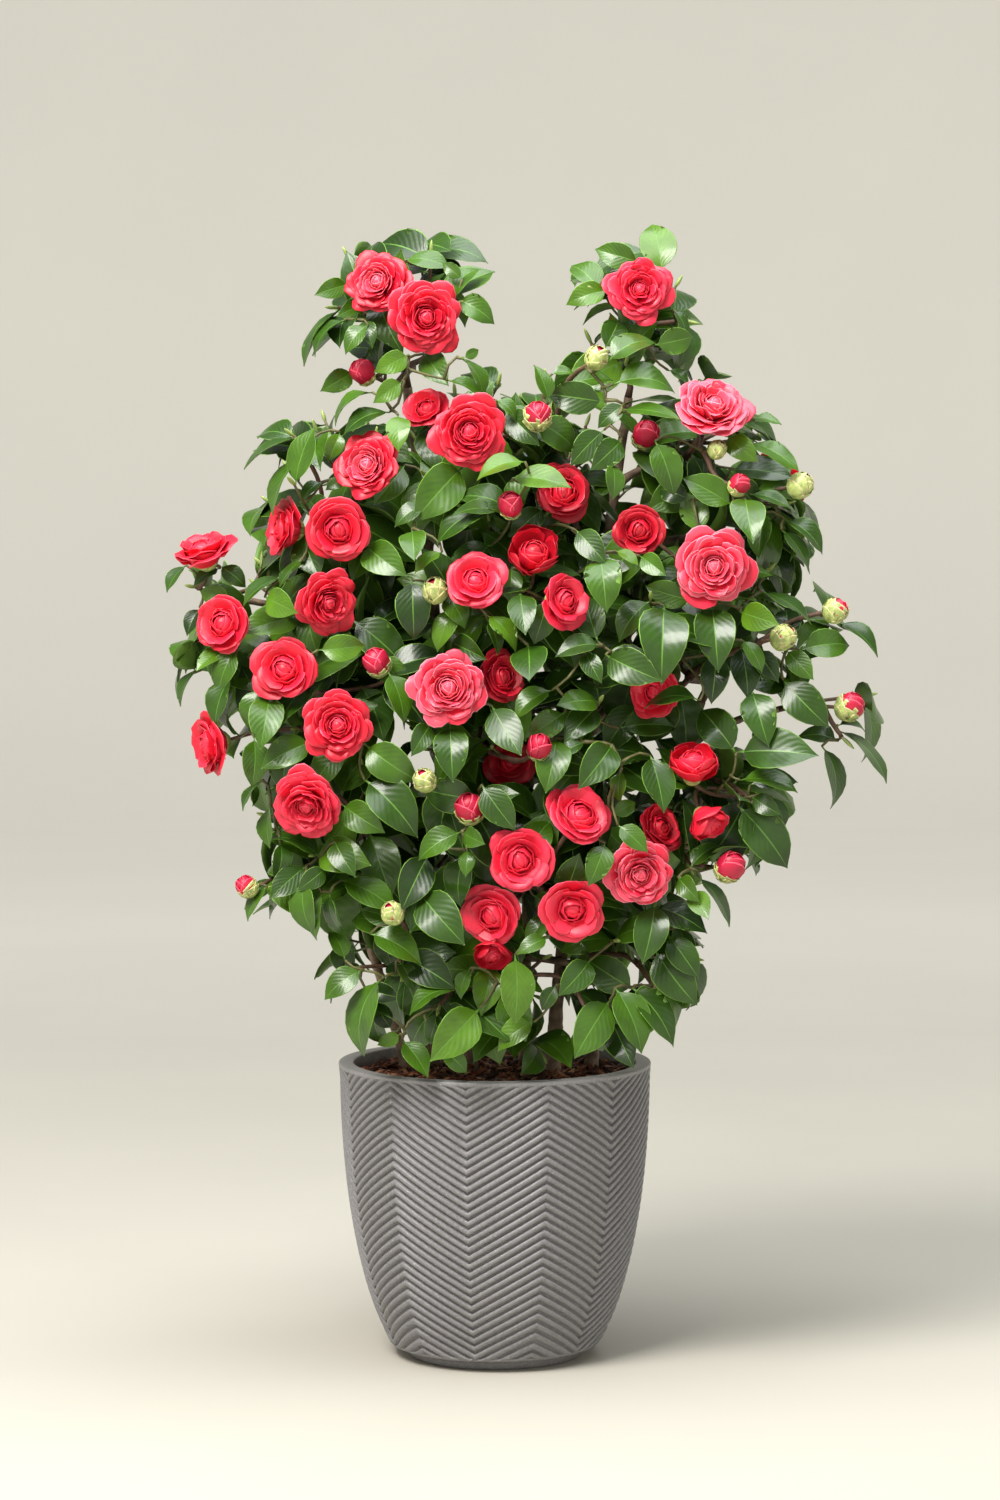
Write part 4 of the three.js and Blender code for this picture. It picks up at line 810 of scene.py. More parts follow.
def segment_distance(a, b, c, d):
    """Shortest distance between straight segments, for arrays of them."""
    first = b - a
    second = d - c
    offset = a - c
    first_square = np.sum(first * first, -1)
    second_square = np.sum(second * second, -1)
    mixed = np.sum(first * second, -1)
    first_offset = np.sum(first * offset, -1)
    second_offset = np.sum(second * offset, -1)
    spread = first_square * second_square - mixed * mixed
    safe = np.where(spread > TINY, spread, 1.0)
    s = np.where(spread > TINY, (mixed * second_offset - first_offset * second_square) / safe, 0.0)
    s = np.clip(s, 0, 1)
    t = np.clip((mixed * s + second_offset) / second_square, 0, 1)
    s = np.clip((mixed * t - first_offset) / first_square, 0, 1)
    return np.linalg.norm(offset + first * s[..., None] - second * t[..., None], axis=-1)


# Segments of wood as three arrays: starts, ends and radii
def segments_of(points, radii):
    return points[:-1], points[1:], np.maximum(radii[:-1], radii[1:])


def joined(groups):
    if not groups:
        return np.zeros((0, 3)), np.zeros((0, 3)), np.zeros(0)
    return tuple(np.concatenate(parts) for parts in zip(*groups))


def clear_of_segments(start, end, radius, segments):
    starts, ends, radii = segments
    if not len(radii):
        return True
    distance = segment_distance(np.asarray(start)[None], np.asarray(end)[None], starts, ends)
    return bool(np.all(distance > radius + radii + TOUCH_MARGIN))


# Space of each mass: an ellipsoid, cut by flat walls where it meets its neighbours
MASS_CENTRES = np.array([row[1] for row in MASSES], float)
MASS_HALVES = np.array([row[2] for row in MASSES], float)
MASS_WEIGHTS = MASS_HALVES.mean(axis=1) ** 2
MASS_APART = 2 * np.linalg.norm(MASS_CENTRES[:, None] - MASS_CENTRES[None], axis=-1)
np.fill_diagonal(MASS_APART, 1.0)


def walls_clear(mass, points, margin):
    """Whether all the points are further than a margin inside the walls of a mass."""
    points = np.atleast_2d(points)
    power = np.sum((points[:, None] - MASS_CENTRES[None]) ** 2, -1) - MASS_WEIGHTS
    inside = (power - power[:, mass:mass + 1]) / MASS_APART[mass] > margin
    inside[:, mass] = True
    return bool(inside.all())


def reaches(points):
    """How far out each point is in each mass, as a share of the way to the mass's edge."""
    return np.linalg.norm((points[:, None] - MASS_CENTRES[None]) / MASS_HALVES[None], axis=-1)


def in_space(mass, points, margin):
    points = np.atleast_2d(points)
    return bool((points[:, 2] > CROWN_FLOOR_Z).all()) and walls_clear(mass, points, margin)


def in_crown(mass, point, margin):
    return reaches(point[None])[0, mass] < LEAF_REACH and in_space(mass, point, margin)


def mass_at(point):
    for mass in range(len(MASSES)):
        if walls_clear(mass, point, 0):
            return mass
    return None


# Limbs
class Limb:
    """A stem or bough as a line with radii; a bough has a parent and a cost."""

    def __init__(self, name, points, radii, parent=None, cost=0.0):
        self.name = name
        self.points = points
        self.radii = radii
        self.parent = parent
        self.cost = cost

    def reach(self):
        """Its segments with the first stretch of its mass's stem, straight on from its tip."""
        starts, ends, radii = segments_of(self.points, self.radii)
        beyond = self.points[-1] + direction_to(self.points[-2], self.points[-1]) * STEM_LENGTH
        starts = np.vstack([starts, self.points[-1]])
        ends = np.vstack([ends, beyond])
        return starts, ends, np.append(radii, BOUGH_TIP_RADIUS)


def bend(start, middle, end, steps):
    return quadratic_curve(start, middle * 2 - start / 2 - end / 2, end, steps)


def stem_limb(row):
    name, foot, middle, tip, foot_radius, tip_radius, _ = row
    start = np.array([foot[0], foot[1], SOIL_TOP_Z + GAP])
    line = bend(start, np.array(middle, float), np.array(tip, float), STEM_STEPS)
    rise = direction_to(start, line[1])
    flare = [start + rise * height / rise[2] for height, _ in ROOT_FLARE]
    points = np.vstack([flare, line[1:]])
    radii = np.linspace(foot_radius, tip_radius, len(points))
    radii[:len(ROOT_FLARE)] *= [share for _, share in ROOT_FLARE]
    return Limb(name, points, radii)


def entry_point(mass, start):
    centre = MASS_CENTRES[mass]
    direction = direction_to(centre, start)
    furthest = np.linalg.norm(start - centre)
    reach = ENTRY_STEP
    while reach < furthest and in_crown(mass, centre + direction * reach, ENTRY_MARGIN):
        reach += ENTRY_STEP
    return centre + direction * (reach - ENTRY_STEP) * ENTRY_SHARE


def bough_limb(stem, share, mass):
    position = share * (len(stem.points) - 1)
    index = int(position)
    before, after = stem.points[index], stem.points[index + 1]
    start = before + (after - before) * (position - index)
    stem_direction = direction_to(before, after)
    end = entry_point(mass, start)
    way = direction_to(start, end)
    length = np.linalg.norm(end - start)
    middle = (start + end) / 2 + (stem_direction - way) * length * BOUGH_BEND
    radius = BOUGH_SHARE * (stem.radii[index] + stem.radii[index + 1]) / 2
    points = bend(start, middle, end, BOUGH_STEPS)
    radii = np.linspace(min(radius, BOUGH_BASE_RADIUS), min(radius, BOUGH_TIP_RADIUS), len(points))
    cost = length * (BOUGH_SLANT_WORTH - stem_direction @ way)
    return Limb("bough_" + MASSES[mass][0], points, radii, stem, cost)


def limbs_clear(limb, others):
    """Whether a limb keeps clear of the others, past the first stretch that starts in its parent."""
    starts, ends, radii = limb.reach()
    for other in others:
        first = 1 if other is limb.parent else 0
        for start, end, radius in list(zip(starts, ends, radii))[first:]:
            if not clear_of_segments(start, end, radius, other.reach()):
                return False
    return True


def grow_limbs(flowers):
    """The stems and boughs, and which of them each mass grows from."""
    stems = [stem_limb(row) for row in STEMS]
    limbs = list(stems)
    names = [row[0] for row in MASSES]
    carriers = {names.index(row[6]): stem for row, stem in zip(STEMS, stems)}
    for mass in range(len(MASSES)):
        if mass in carriers:
            continue
        ways = [bough_limb(stem, share, mass) for stem in stems for share in BOUGH_STARTS]
        ways.sort(key=lambda way: way.cost)
        for way in ways:
            clear = limbs_clear(way, limbs)
            if clear and clear_of_flowers(way.points[1:], flowers, BOUGH_FLOWER_MARGIN):
                carriers[mass] = way
                limbs.append(way)
                break
    return limbs, carriers


# Flowers
class Flower:
    """A bloom or bud, and whether the photograph shows it."""

    def __init__(self, kind, radius, centre, direction, tint="red", red_share=0.0, seen=True):
        self.kind = kind
        self.radius = float(radius)
        self.centre = centre
        self.direction = direction
        self.tint = tint
        self.red_share = red_share
        self.seen = seen

    def base(self):
        return self.centre - self.direction * (FLOWER_BASE[self.kind] - BASE_SUNK) * self.radius


def facing(yaw, pitch):
    turn, tilt = math.radians(yaw), math.radians(pitch)
    return np.array([math.sin(turn) * math.cos(tilt), -math.cos(turn) * math.cos(tilt), math.sin(tilt)])


def crown_front(x, z):
    across = ((x - CROWN_CENTRE_X) / CROWN_HALF_WIDTH) ** 2
    upward = ((z - CROWN_CENTRE_Z) / CROWN_HALF_HEIGHT) ** 2
    return -(CROWN_RIM_DEPTH + CROWN_SWELL_DEPTH * math.sqrt(max(0, 1 - across - upward)))


def front_place(x, z, set_back):
    return np.array([x, crown_front(x, z) + set_back, z], float)


def seen_flowers():
    flowers = []
    for kind, x, z, radius, yaw, pitch, set_back, tint in BLOOMS:
        centre = front_place(x, z, set_back)
        flowers.append(Flower(kind, radius, centre, facing(yaw, pitch), tint))
    for x, z, radius, set_back, red_share in BUDS:
        centre = front_place(x, z, set_back)
        outward = unit(np.array([x - CROWN_CENTRE_X, centre[1], BUD_OUTWARD_RISE]))
        flowers.append(Flower("bud", radius, centre, outward, "red", red_share))
    return flowers


def flat_places(points):
    """Where the camera sees points in the plane y = 0."""
    camera = np.array(CAMERA_PLACE)
    points = np.atleast_2d(points)
    share = -camera[1] / (points[:, 1] - camera[1])
    return camera[[0, 2]] + (points[:, [0, 2]] - camera[[0, 2]]) * share[:, None]


def seen_point(across, down, y):
    """The point behind a pixel of the photograph at a given y."""
    tilt = math.radians(CAMERA_DOWN)
    right = (across - PHOTO_WIDTH / 2) / FOCAL_PIXELS
    rise = (PHOTO_HEIGHT / 2 - down) / FOCAL_PIXELS
    sight = np.array([right, math.cos(tilt) + rise * math.sin(tilt), rise * math.cos(tilt) - math.sin(tilt)])
    return np.array(CAMERA_PLACE) + sight * (y - CAMERA_PLACE[1]) / sight[1]


def in_an_opening(points):
    """Whether a point stands in the line of sight through an opening."""
    flat = flat_places(points)
    gap = (flat[:, None] - OPENINGS[None, :, :2]) / OPENINGS[None, :, 2:]
    return bool((np.sum(gap ** 2, -1) < 1).any())


def seen_sprays():
    return [
        {"point": front_place(x, z, set_back), "direction": facing(yaw, pitch)}
        for x, z, set_back, yaw, pitch in SPRAYS
    ]


def clear_of_flowers(points, flowers, margin):
    """A flower keeps a flattened ball of room to itself."""
    if not flowers:
        return True
    points = np.atleast_2d(points)
    centres = np.array([flower.centre for flower in flowers])
    directions = np.array([flower.direction for flower in flowers])
    radii = np.array([flower.radius for flower in flowers])
    room = np.array([FLOWER_ROOM[flower.kind] for flower in flowers]) * radii + margin
    offset = points[:, None] - centres[None]
    depth = np.sum(offset * directions[None], -1)
    across_square = np.maximum(np.sum(offset * offset, -1) - depth ** 2, 0)
    inside = across_square / (radii + margin) ** 2 + (depth / room) ** 2 < 1
    return not inside.any()


# Growth inside one mass: a tree of shoots from the tip of its limb
class Shoot:
    """A twig from a fork on its parent's segment, at a distance along the wood, to its end."""

    def __init__(self, points, target, parent, segment, path, fine):
        self.points = points
        self.direction = target["direction"]
        self.flower = target.get("flower")
        self.parent = parent
        self.segment = segment
        self.path = path
        self.fine = fine
        self.leaf_places = []
        self.ends_in_leaf = False


def shell_tips(mass, entry, random, taken, spacing, tries, shell):
    """Ends spread out over a shell of the mass's space."""
    tips = []
    others = list(taken)
    for _ in range(tries):
        turn = random.angle()
        height = random() * 2 - 1
        level = math.sqrt(1 - height * height)
        radial = np.array([math.cos(turn) * level, math.sin(turn) * level, height])
        share = shell[0] if shell[0] == shell[1] else random.between(*shell)
        point = MASS_CENTRES[mass] + radial * MASS_HALVES[mass] * share
        if others and np.linalg.norm(np.array(others) - point, axis=1).min() <= spacing:
            continue
        if in_crown(mass, point, ENTRY_MARGIN):
            rise = (point[2] - CROWN_CENTRE_Z) * OUTWARD_FLATTENING + OUTWARD_RISE
            outward = unit(np.array([point[0] - CROWN_CENTRE_X, point[1], rise]))
            direction = outward + direction_to(entry, point) + radial * RADIAL_PULL
            tips.append({"point": point, "direction": unit(direction)})
            others.append(point)
    return tips


def forks_of(shoots):
    """Places on the shoots so far where another may fork off: shoot, segment, point, path."""
    starts = np.array([shoot.points[0] for shoot in shoots])
    forks = []
    for index, shoot in enumerate(shoots):
        for segment in range(len(shoot.points) - 1):
            if index == 0 and segment == 0:
                continue
            start, end = shoot.points[segment], shoot.points[segment + 1]
            length = np.linalg.norm(end - start)
            before = shoot.path + np.linalg.norm(start - shoot.points[0])
            for share in FORK_SHARES:
                point = start + (end - start) * share
                if np.linalg.norm(starts - point, axis=1).min() > FORKS_APART:
                    forks.append((shoot, segment, point, before + length * share))
    return forks


def twigs_of(shoots):
    groups = []
    for shoot in shoots:
        radius = FINE_TIP_RADIUS if shoot.fine else TIP_RADIUS
        groups.append(segments_of(shoot.points, np.full(len(shoot.points), radius * TWIG_ALLOWANCE)))
    return joined(groups)


def shoot_line(start, target, straightness, jitter):
    """A line that leaves its fork in a bend and comes to its end in the end's own direction."""
    distance = np.linalg.norm(target["point"] - start)
    control = target["point"] - target["direction"] * distance * straightness + jitter * distance * BEND_SHARE
    steps = 3 if distance > BEND_BEYOND else 2
    return quadratic_curve(start, control, target["point"], steps)


def line_fits(mass, line, segments, twigs, flowers, radius, clearance):
    if not in_space(mass, line[1:-1], SHOOT_WALL_MARGIN):
        return False
    for step in range(len(line) - 1):
        start, end = line[step], line[step + 1]
        length = np.linalg.norm(end - start)
        share = min(0.5, clearance / length) if step == 0 else 0.0
        if not clear_of_segments(start, end, radius, segments):
            return False
        if not clear_of_segments(start + (end - start) * share, end, radius, twigs):
            return False
        samples = start + (end - start) * LINE_CHECKS[:, None]
        if not clear_of_flowers(samples, flowers, FLOWER_MARGIN):
            return False
    return True


def connect(mass, shoots, entry, target, segments, flowers, random, fine=False):
    """The first clear line to a target, from the forks in order of cost."""
    if not walls_clear(mass, target["point"], TARGET_WALL_MARGIN):
        return None
    others = [flower for flower in flowers if flower is not target.get("flower")]
    jitter = random.jitter()
    forks = forks_of(shoots) if shoots else [(None, 0, entry[1], 0.0)]
    twigs = twigs_of(shoots)
    shortest = SHORTEST_FINE_SHOOT if fine else SHORTEST_SHOOT
    radius = FINE_TIP_RADIUS if fine else TIP_RADIUS
    clearance = FINE_FORK_CLEARANCE if fine else FORK_CLEARANCE

    def cost(fork):
        sharpness = 1 - direction_to(fork[2], target["point"]) @ target["direction"]
        length = np.linalg.norm(target["point"] - fork[2])
        return length * (1 + TURNING_COST * sharpness) + DETOUR_COST * fork[3]

    forks.sort(key=cost)
    if fine:
        forks = forks[:FINE_FORKS_TRIED]
    for straightness in STRAIGHTNESSES:
        for parent, segment, point, path in forks:
            if np.linalg.norm(target["point"] - point) <= shortest:
                continue
            line = shoot_line(point, target, straightness, jitter)
            if line_fits(mass, line, segments, twigs, others, radius, clearance):
                points = line if parent else np.vstack([entry[0], line])
                return Shoot(points, target, parent, segment, path, fine)
    return None


def grow_shoots(mass, limb, segments, flowers, seed):
    random = Random(seed)
    direction = direction_to(limb.points[-2], limb.points[-1])
    point = limb.points[-1] + direction * GAP
    entry = (point, point + direction * STEM_LENGTH)
    own = [flower for flower in flowers if mass_at(flower.base()) == mass]
    sprays = [spray for spray in seen_sprays() if mass_at(spray["point"]) == mass]
    targets = [{"flower": f, "point": f.base(), "direction": f.direction} for f in own] + sprays
    taken = [flower.centre for flower in own] + [spray["point"] for spray in sprays]
    shell = (SHELL_SHARE, SHELL_SHARE)
    targets += shell_tips(mass, point, random, taken, SHOOTS_SPACING, SHELL_TRIES, shell)
    targets.sort(key=lambda target: np.linalg.norm(target["point"] - point))
    shoots = []
    for target in targets:
        shoot = connect(mass, shoots, entry, target, segments, flowers, random)
        if shoot:
            shoots.append(shoot)
    return shoots, entry


def add_back_blooms(mass, shoots, segments, flowers):
    for index, shoot in enumerate(shoots):
        point = shoot.points[-1]
        if shoot.flower or point[1] < BACK_BLOOMS_FROM_Y or index % BACK_BLOOM_EVERY != 1:
            continue
        kind = "full" if index % 2 else "open"
        centre = point + shoot.direction * (FLOWER_BASE[kind] - BASE_SUNK) * BACK_BLOOM_RADIUS
        room = BACK_BLOOM_RADIUS + BACK_BLOOM_ROOM
        apart = all(np.linalg.norm(f.centre - centre) > room + f.radius for f in flowers)
        clear = clear_of_segments(centre, point, BACK_BLOOM_RADIUS, segments)
        if apart and clear and walls_clear(mass, centre, room):
            tint = BACK_BLOOM_TINTS[(index + mass) % len(BACK_BLOOM_TINTS)]
            shoot.flower = Flower(kind, BACK_BLOOM_RADIUS, centre, shoot.direction, tint, seen=False)
            flowers.append(shoot.flower)


def add_fine_shoots(mass, shoots, entry, segments, flowers, seed):
    """The same rule again, carried to finer twigs between the ones there are."""
    random = Random(seed)
    taken = [shoot.points[-1] for shoot in shoots]
    taken += [flower.centre for flower in flowers]
    tips = shell_tips(mass, entry[0], random, taken, FINE_SPACING, FINE_TRIES, FINE_SHELL)
    tips.sort(key=lambda tip: np.linalg.norm(tip["point"] - entry[0]))
    for tip in tips:
        if in_an_opening(tip["point"]):
            continue
        shoot = connect(mass, shoots, entry, tip, segments, flowers, random, fine=True)
        if shoot and not in_an_opening(shoot.points):
            shoots.append(shoot)


def thicken(shoots):
    """Wood is thicker the more shoot ends it carries: the radius at each point of each shoot."""
    loads = {id(shoot): np.full(len(shoot.points), FINE_LOAD if shoot.fine else 1.0) for shoot in shoots}
    for shoot in reversed(shoots):
        if shoot.parent:
            loads[id(shoot.parent)][:shoot.segment + 1] += loads[id(shoot)][0]
    for shoot in shoots:
        tip = FINE_TIP_RADIUS if shoot.fine else TIP_RADIUS * TIP_SLIMMING
        shoot.radii = tip * np.maximum(loads[id(shoot)], 1.0) ** TWIG_THICKENING


# Leaves: where they stand
class Leaf:
    """A blade as five corners round its folds, for the growth rule's tests."""

    def __init__(self, base, blade, face, length, width, shoot, tone=None):
        self.base = base
        self.blade = blade
        self.face = face
        self.across = np.cross(face, blade)
        self.length = length
        self.width = width
        self.shoot = shoot
        self.tone = tone
        stalk = base + blade * length * STALK_SHARE
        middle = base + blade * length * 0.5
        self.middle = middle
        self.left = middle + self.across * width / 2
        self.right = middle - self.across * width / 2
        self.tip = base + blade * length - face * length * LEAF_TIP_DROP
        self.above = middle + face * length * LEAF_CREST
        self.corners = np.array([stalk, self.left, self.right, self.above, self.tip])

    def samples(self):
        """Points along the blade's edges and folds."""
        share = EDGE_CHECKS[None, :, None]
        starts = self.corners[BLADE_EDGES[:, 0]][:, None]
        ends = self.corners[BLADE_EDGES[:, 1]][:, None]
        return (starts * (1 - share) + ends * share).reshape(-1, 3)


BLADE_EDGES = np.array([(0, 1), (0, 2), (0, 3), (1, 4), (2, 4), (3, 4), (1, 2)])
BLADE_FACES = np.array([(0, 1, 3), (0, 2, 3), (4, 1, 3), (4, 2, 3)])


def pierces(starts, ends, a, b, c):
    """Whether lines go through triangles, for arrays that broadcast."""
    first, second, line = b - a, c - a, ends - starts
    square = np.cross(line, second)
    scale = np.sum(first * square, -1)
    safe = np.where(np.abs(scale) < TINY, 1.0, scale)
    offset = starts - a
    swept = np.cross(offset, first)
    u = np.sum(offset * square, -1) / safe
    v = np.sum(line * swept, -1) / safe
    t = np.sum(second * swept, -1) / safe
    hit = (u >= 0) & (v >= 0) & (u + v <= 1) & (t >= 0) & (t <= 1)
    return hit & (np.abs(scale) >= TINY)


def edges_through_faces(edge_corners, face_corners):
    """Whether any edge of some leaves goes through any face of other leaves."""
    edges = edge_corners[:, BLADE_EDGES].reshape(-1, 2, 3)
    faces = face_corners[:, BLADE_FACES].reshape(-1, 3, 3)
    return bool(pierces(
        edges[:, None, 0], edges[:, None, 1], faces[None, :, 0], faces[None, :, 1], faces[None, :, 2],
    ).any())


class Foliage:
    """All leaves so far, with what a new one has to keep clear of."""

    def __init__(self, segments, flowers):
        self.segments = segments
        self.flowers = flowers
        self.leaves = []
        self.corners = np.zeros((0, 5, 3))
        self.middles = np.zeros((0, 3))
        self.camera = np.array(CAMERA_PLACE)
        self.seen = [f for f in flowers if f.seen]
        self.seen_centres = np.array([f.centre for f in self.seen])
        self.seen_radii = np.array([f.radius for f in self.seen])
        self.seen_buds = np.array([f.kind == "bud" for f in self.seen])
        self.shown = []
        self.shown_arrays = None

    def hides_a_flower(self, points, only_buds=False):
        """Whether a point stands between the camera and a flower that the photograph shows."""
        depth = self.seen_centres[None, :, 1] - self.camera[1]
        reach = points[:, None, 1] - self.camera[1]
        scale = depth / reach
        shift = self.camera[None, None] + (points[:, None] - self.camera) * scale[..., None]
        gap = np.linalg.norm((shift - self.seen_centres[None])[..., (0, 2)], axis=-1)
        ahead = points[:, None, 1] < self.seen_centres[None, :, 1]
        hidden = ahead & (gap < self.seen_radii * SIGHT_SHARE)
        return bool(hidden[:, self.seen_buds if only_buds else slice(None)].any())

    def hides_a_seen_leaf(self, points):
        if not self.shown:
            return False
        middles, axes, halves, depths = self.shown_arrays
        offset = flat_places(points)[:, None] - middles
        along = np.sum(offset * axes, -1) / halves[:, 0]
        across = (offset[..., 0] * axes[:, 1] - offset[..., 1] * axes[:, 0]) / halves[:, 1]
        ahead = points[:, 1][:, None] < depths
        return bool((ahead & (along ** 2 + across ** 2 < SEEN_SHARE ** 2)).any())

    def add_seen(self, leaf):
        """A leaf that the photograph shows, which later ones may not hide."""
        self.add(leaf)
        root, tip, left, right = flat_places(leaf.corners[[0, 4, 1, 2]])
        axis = unit(tip - root)
        width = abs((left - right)[0] * axis[1] - (left - right)[1] * axis[0])
        self.keep_in_view(root, tip, max(width, NARROWEST_SEEN), leaf.middle[1])

    def keep_in_view(self, root, tip, width, depth):
        """Later leaves may not stand before an ellipse in the plane y = 0, in front of a depth."""
        half_length = np.linalg.norm(tip - root) / 2
        self.shown.append(((root + tip) / 2, unit(tip - root), (half_length, width / 2), depth))
        self.shown_arrays = [np.array(column) for column in zip(*self.shown)]

    def crosses(self, leaf):
        """Whether a leaf and another go through each other."""
        close = np.linalg.norm(self.middles - leaf.middle, axis=1) < leaf.length * CROSSING_REACH
        own, others = leaf.corners[None], self.corners[close]
        return close.any() and (edges_through_faces(own, others) or edges_through_faces(others, own))

    def fits(self, leaf, own_twig, twigs):
        outline = leaf.corners[1:]
        if (outline[:, 2] < CROWN_FLOOR_Z - LEAF_DIP).any():
            return False
        if reaches(outline).min(axis=1).max() > LEAF_REACH:
            return False
        middle = leaf.middle
        near = np.linalg.norm(self.middles - middle, axis=1)
        if len(near) and near.min() < LEAF_APART:
            return False
        samples = leaf.samples()
        if not clear_of_flowers(samples, self.flowers, LEAF_FLOWER_MARGIN):
            return False
        if self.hides_a_flower(samples) or self.hides_a_seen_leaf(samples) or in_an_opening(samples):
            return False
        starts, ends, radii = self.segments
        edge_starts = leaf.corners[BLADE_EDGES[:, 0]]
        edge_ends = leaf.corners[BLADE_EDGES[:, 1]]
        distance = segment_distance(edge_starts[:, None], edge_ends[:, None], starts[None], ends[None])
        if (distance < radii + LEAF_WOOD_MARGIN).any():
            return False
        faces = leaf.corners[BLADE_FACES]
        wood = np.ones(len(twigs[2]), bool)
        wood[own_twig] = False
        if pierces(twigs[0][wood][:, None], twigs[1][wood][:, None],
                   faces[None, :, 0], faces[None, :, 1], faces[None, :, 2]).any():
            return False
        return not self.crosses(leaf)

    def add(self, leaf):
        self.leaves.append(leaf)
        self.corners = np.concatenate([self.corners, leaf.corners[None]])
        self.middles = np.concatenate([self.middles, leaf.middle[None]])


def leaf_frame(base, twig, turn, side, other, random):
    """Directions of a leaf's length and of its upper face, which turns out and up to the light."""
    radial = side * math.cos(turn) + other * math.sin(turn)
    droop = LEAF_DROOP + random.between(-LEAF_DROOP_SPREAD, LEAF_DROOP_SPREAD)
    blade = unit(twig * LEAF_FORWARD + radial * LEAF_OUTWARD - UP * droop)
    outward = np.array([base[0] - CROWN_CENTRE_X, base[1] * FRONT_WORTH, 0.0])
    outward = outward / max(np.linalg.norm(outward), FULLY_OUTWARD)
    stray = random.jitter() * LEAF_STRAY
    face = UP * FACE_UPWARD + outward * FACE_OUTWARD + twig * FACE_ALONG + stray
    face = unit(face - blade * (face @ blade))
    return blade, face


def seen_leaf(row, shift):
    """A leaf turned and tilted until it looks as long and wide as in the photograph."""
    across, down, tip_across, tip_down, width, tone = row
    start = seen_point(across, down, 0)
    depth = crown_front(start[0], start[2]) + SEEN_SET_BACKS[tone] + shift
    base = seen_point(across, down, depth)
    ahead = seen_point(tip_across, tip_down, depth) - base
    seen_length = np.linalg.norm(ahead)
    length = max(SEEN_LENGTHENING * seen_length, width / SEEN_SHAPE)
    away = math.sqrt(max(length ** 2 - seen_length ** 2, 0))
    away *= RISING_LEAN if ahead[2] > 0 else -1
    blade = unit(ahead + np.array([0, away, 0]))
    shape = max(width, SEEN_SHAPE * length)
    slant = min(width / shape, 1.0)
    edge_up = np.array([-ahead[2], 0, ahead[0]]) / seen_length
    edge_up = edge_up if edge_up[2] > 0 else -edge_up
    face = np.array([0, -slant, 0]) + edge_up * math.sqrt(1 - slant ** 2)
    return Leaf(base, blade, unit(face - blade * (face @ blade)), length, shape, None, tone)


def nearest_wood(growths, point, foliage):
    """The nearest fork from which a twig to a point stays clear of the flowers."""
    starts = []
    owners = []
    for shoots in growths:
        for shoot in shoots:
            for segment in range(len(shoot.points) - 1):
                for share in FORK_SHARES:
                    starts.append(shoot.points[segment] * (1 - share) + shoot.points[segment + 1] * share)
                    owners.append((shoots, shoot, segment))
    starts = np.array(starts)
    distances = np.linalg.norm(starts - point, axis=1)
    for index in np.argsort(distances)[:FINE_FORKS_TRIED]:
        if distances[index] > LONGEST_TWIG:
            break
        samples = starts[index] + (point - starts[index]) * TWIG_CHECKS[:, None]
        if clear_of_flowers(samples, foliage.flowers, 0.0) and not foliage.hides_a_flower(samples):
            return starts[index], *owners[index]
    return None


def grow_seen_leaves(growths, foliage):
    """Each leaf that the photograph shows, on a fine twig of its own from the nearest wood."""
    random = Random(SEEN_LEAF_SEED)
    for row in SEEN_LEAVES:
        choices = [seen_leaf(row, shift) for shift in SEEN_SHIFTS]
        clear = [leaf for leaf in choices if clear_of_flowers(leaf.samples(), foliage.flowers, 0.0)]
        tidy = [leaf for leaf in clear if not foliage.hides_a_flower(leaf.samples(), only_buds=True)]
        free = [leaf for leaf in tidy if not foliage.crosses(leaf)]
        for leaf in free + tidy + clear:
            fork = nearest_wood(growths, leaf.base, foliage)
            if fork:
                break
        else:
            continue
        start, shoots, parent, segment = fork
        distance = np.linalg.norm(leaf.base - start)
        arriving = unit(leaf.blade + UP * random.between(0, SEEN_TWIG_RISE))
        line = quadratic_curve(start, leaf.base - arriving * distance * SEEN_TWIG_BEND, leaf.base, 2)
        target = {"point": leaf.base, "direction": leaf.blade}
        shoot = Shoot(line, target, parent, segment, 0.0, True)
        shoot.leaf_places.append(distance * 2)
        shoot.ends_in_leaf = True
        leaf.shoot = shoot
        shoots.append(shoot)
        foliage.add_seen(leaf)


def cut_back(shoots):
    """Every shoot ends at its last leaf, flower or side shoot, and one without any goes."""
    kept = []
    for shoot in reversed(shoots):
        lengths = step_lengths(shoot.points)
        places = np.concatenate([[0.0], np.cumsum(lengths)])
        uses = shoot.leaf_places + [
            places[child.segment] + np.linalg.norm(child.points[0] - shoot.points[child.segment])
            for child in kept if child.parent is shoot
        ]
        if not shoot.flower and not uses:
            continue
        if not shoot.flower:
            end = min(max(uses) + BARE_END, places[-1])
            last = max(int(np.searchsorted(places, end)) - 1, 0)
            share = (end - places[last]) / lengths[last]
            point = shoot.points[last] + (shoot.points[last + 1] - shoot.points[last]) * share
            shoot.points = np.vstack([shoot.points[:last + 1], point])
            shoot.radii = shoot.radii[:last + 2]
        kept.append(shoot)
    return kept[::-1]


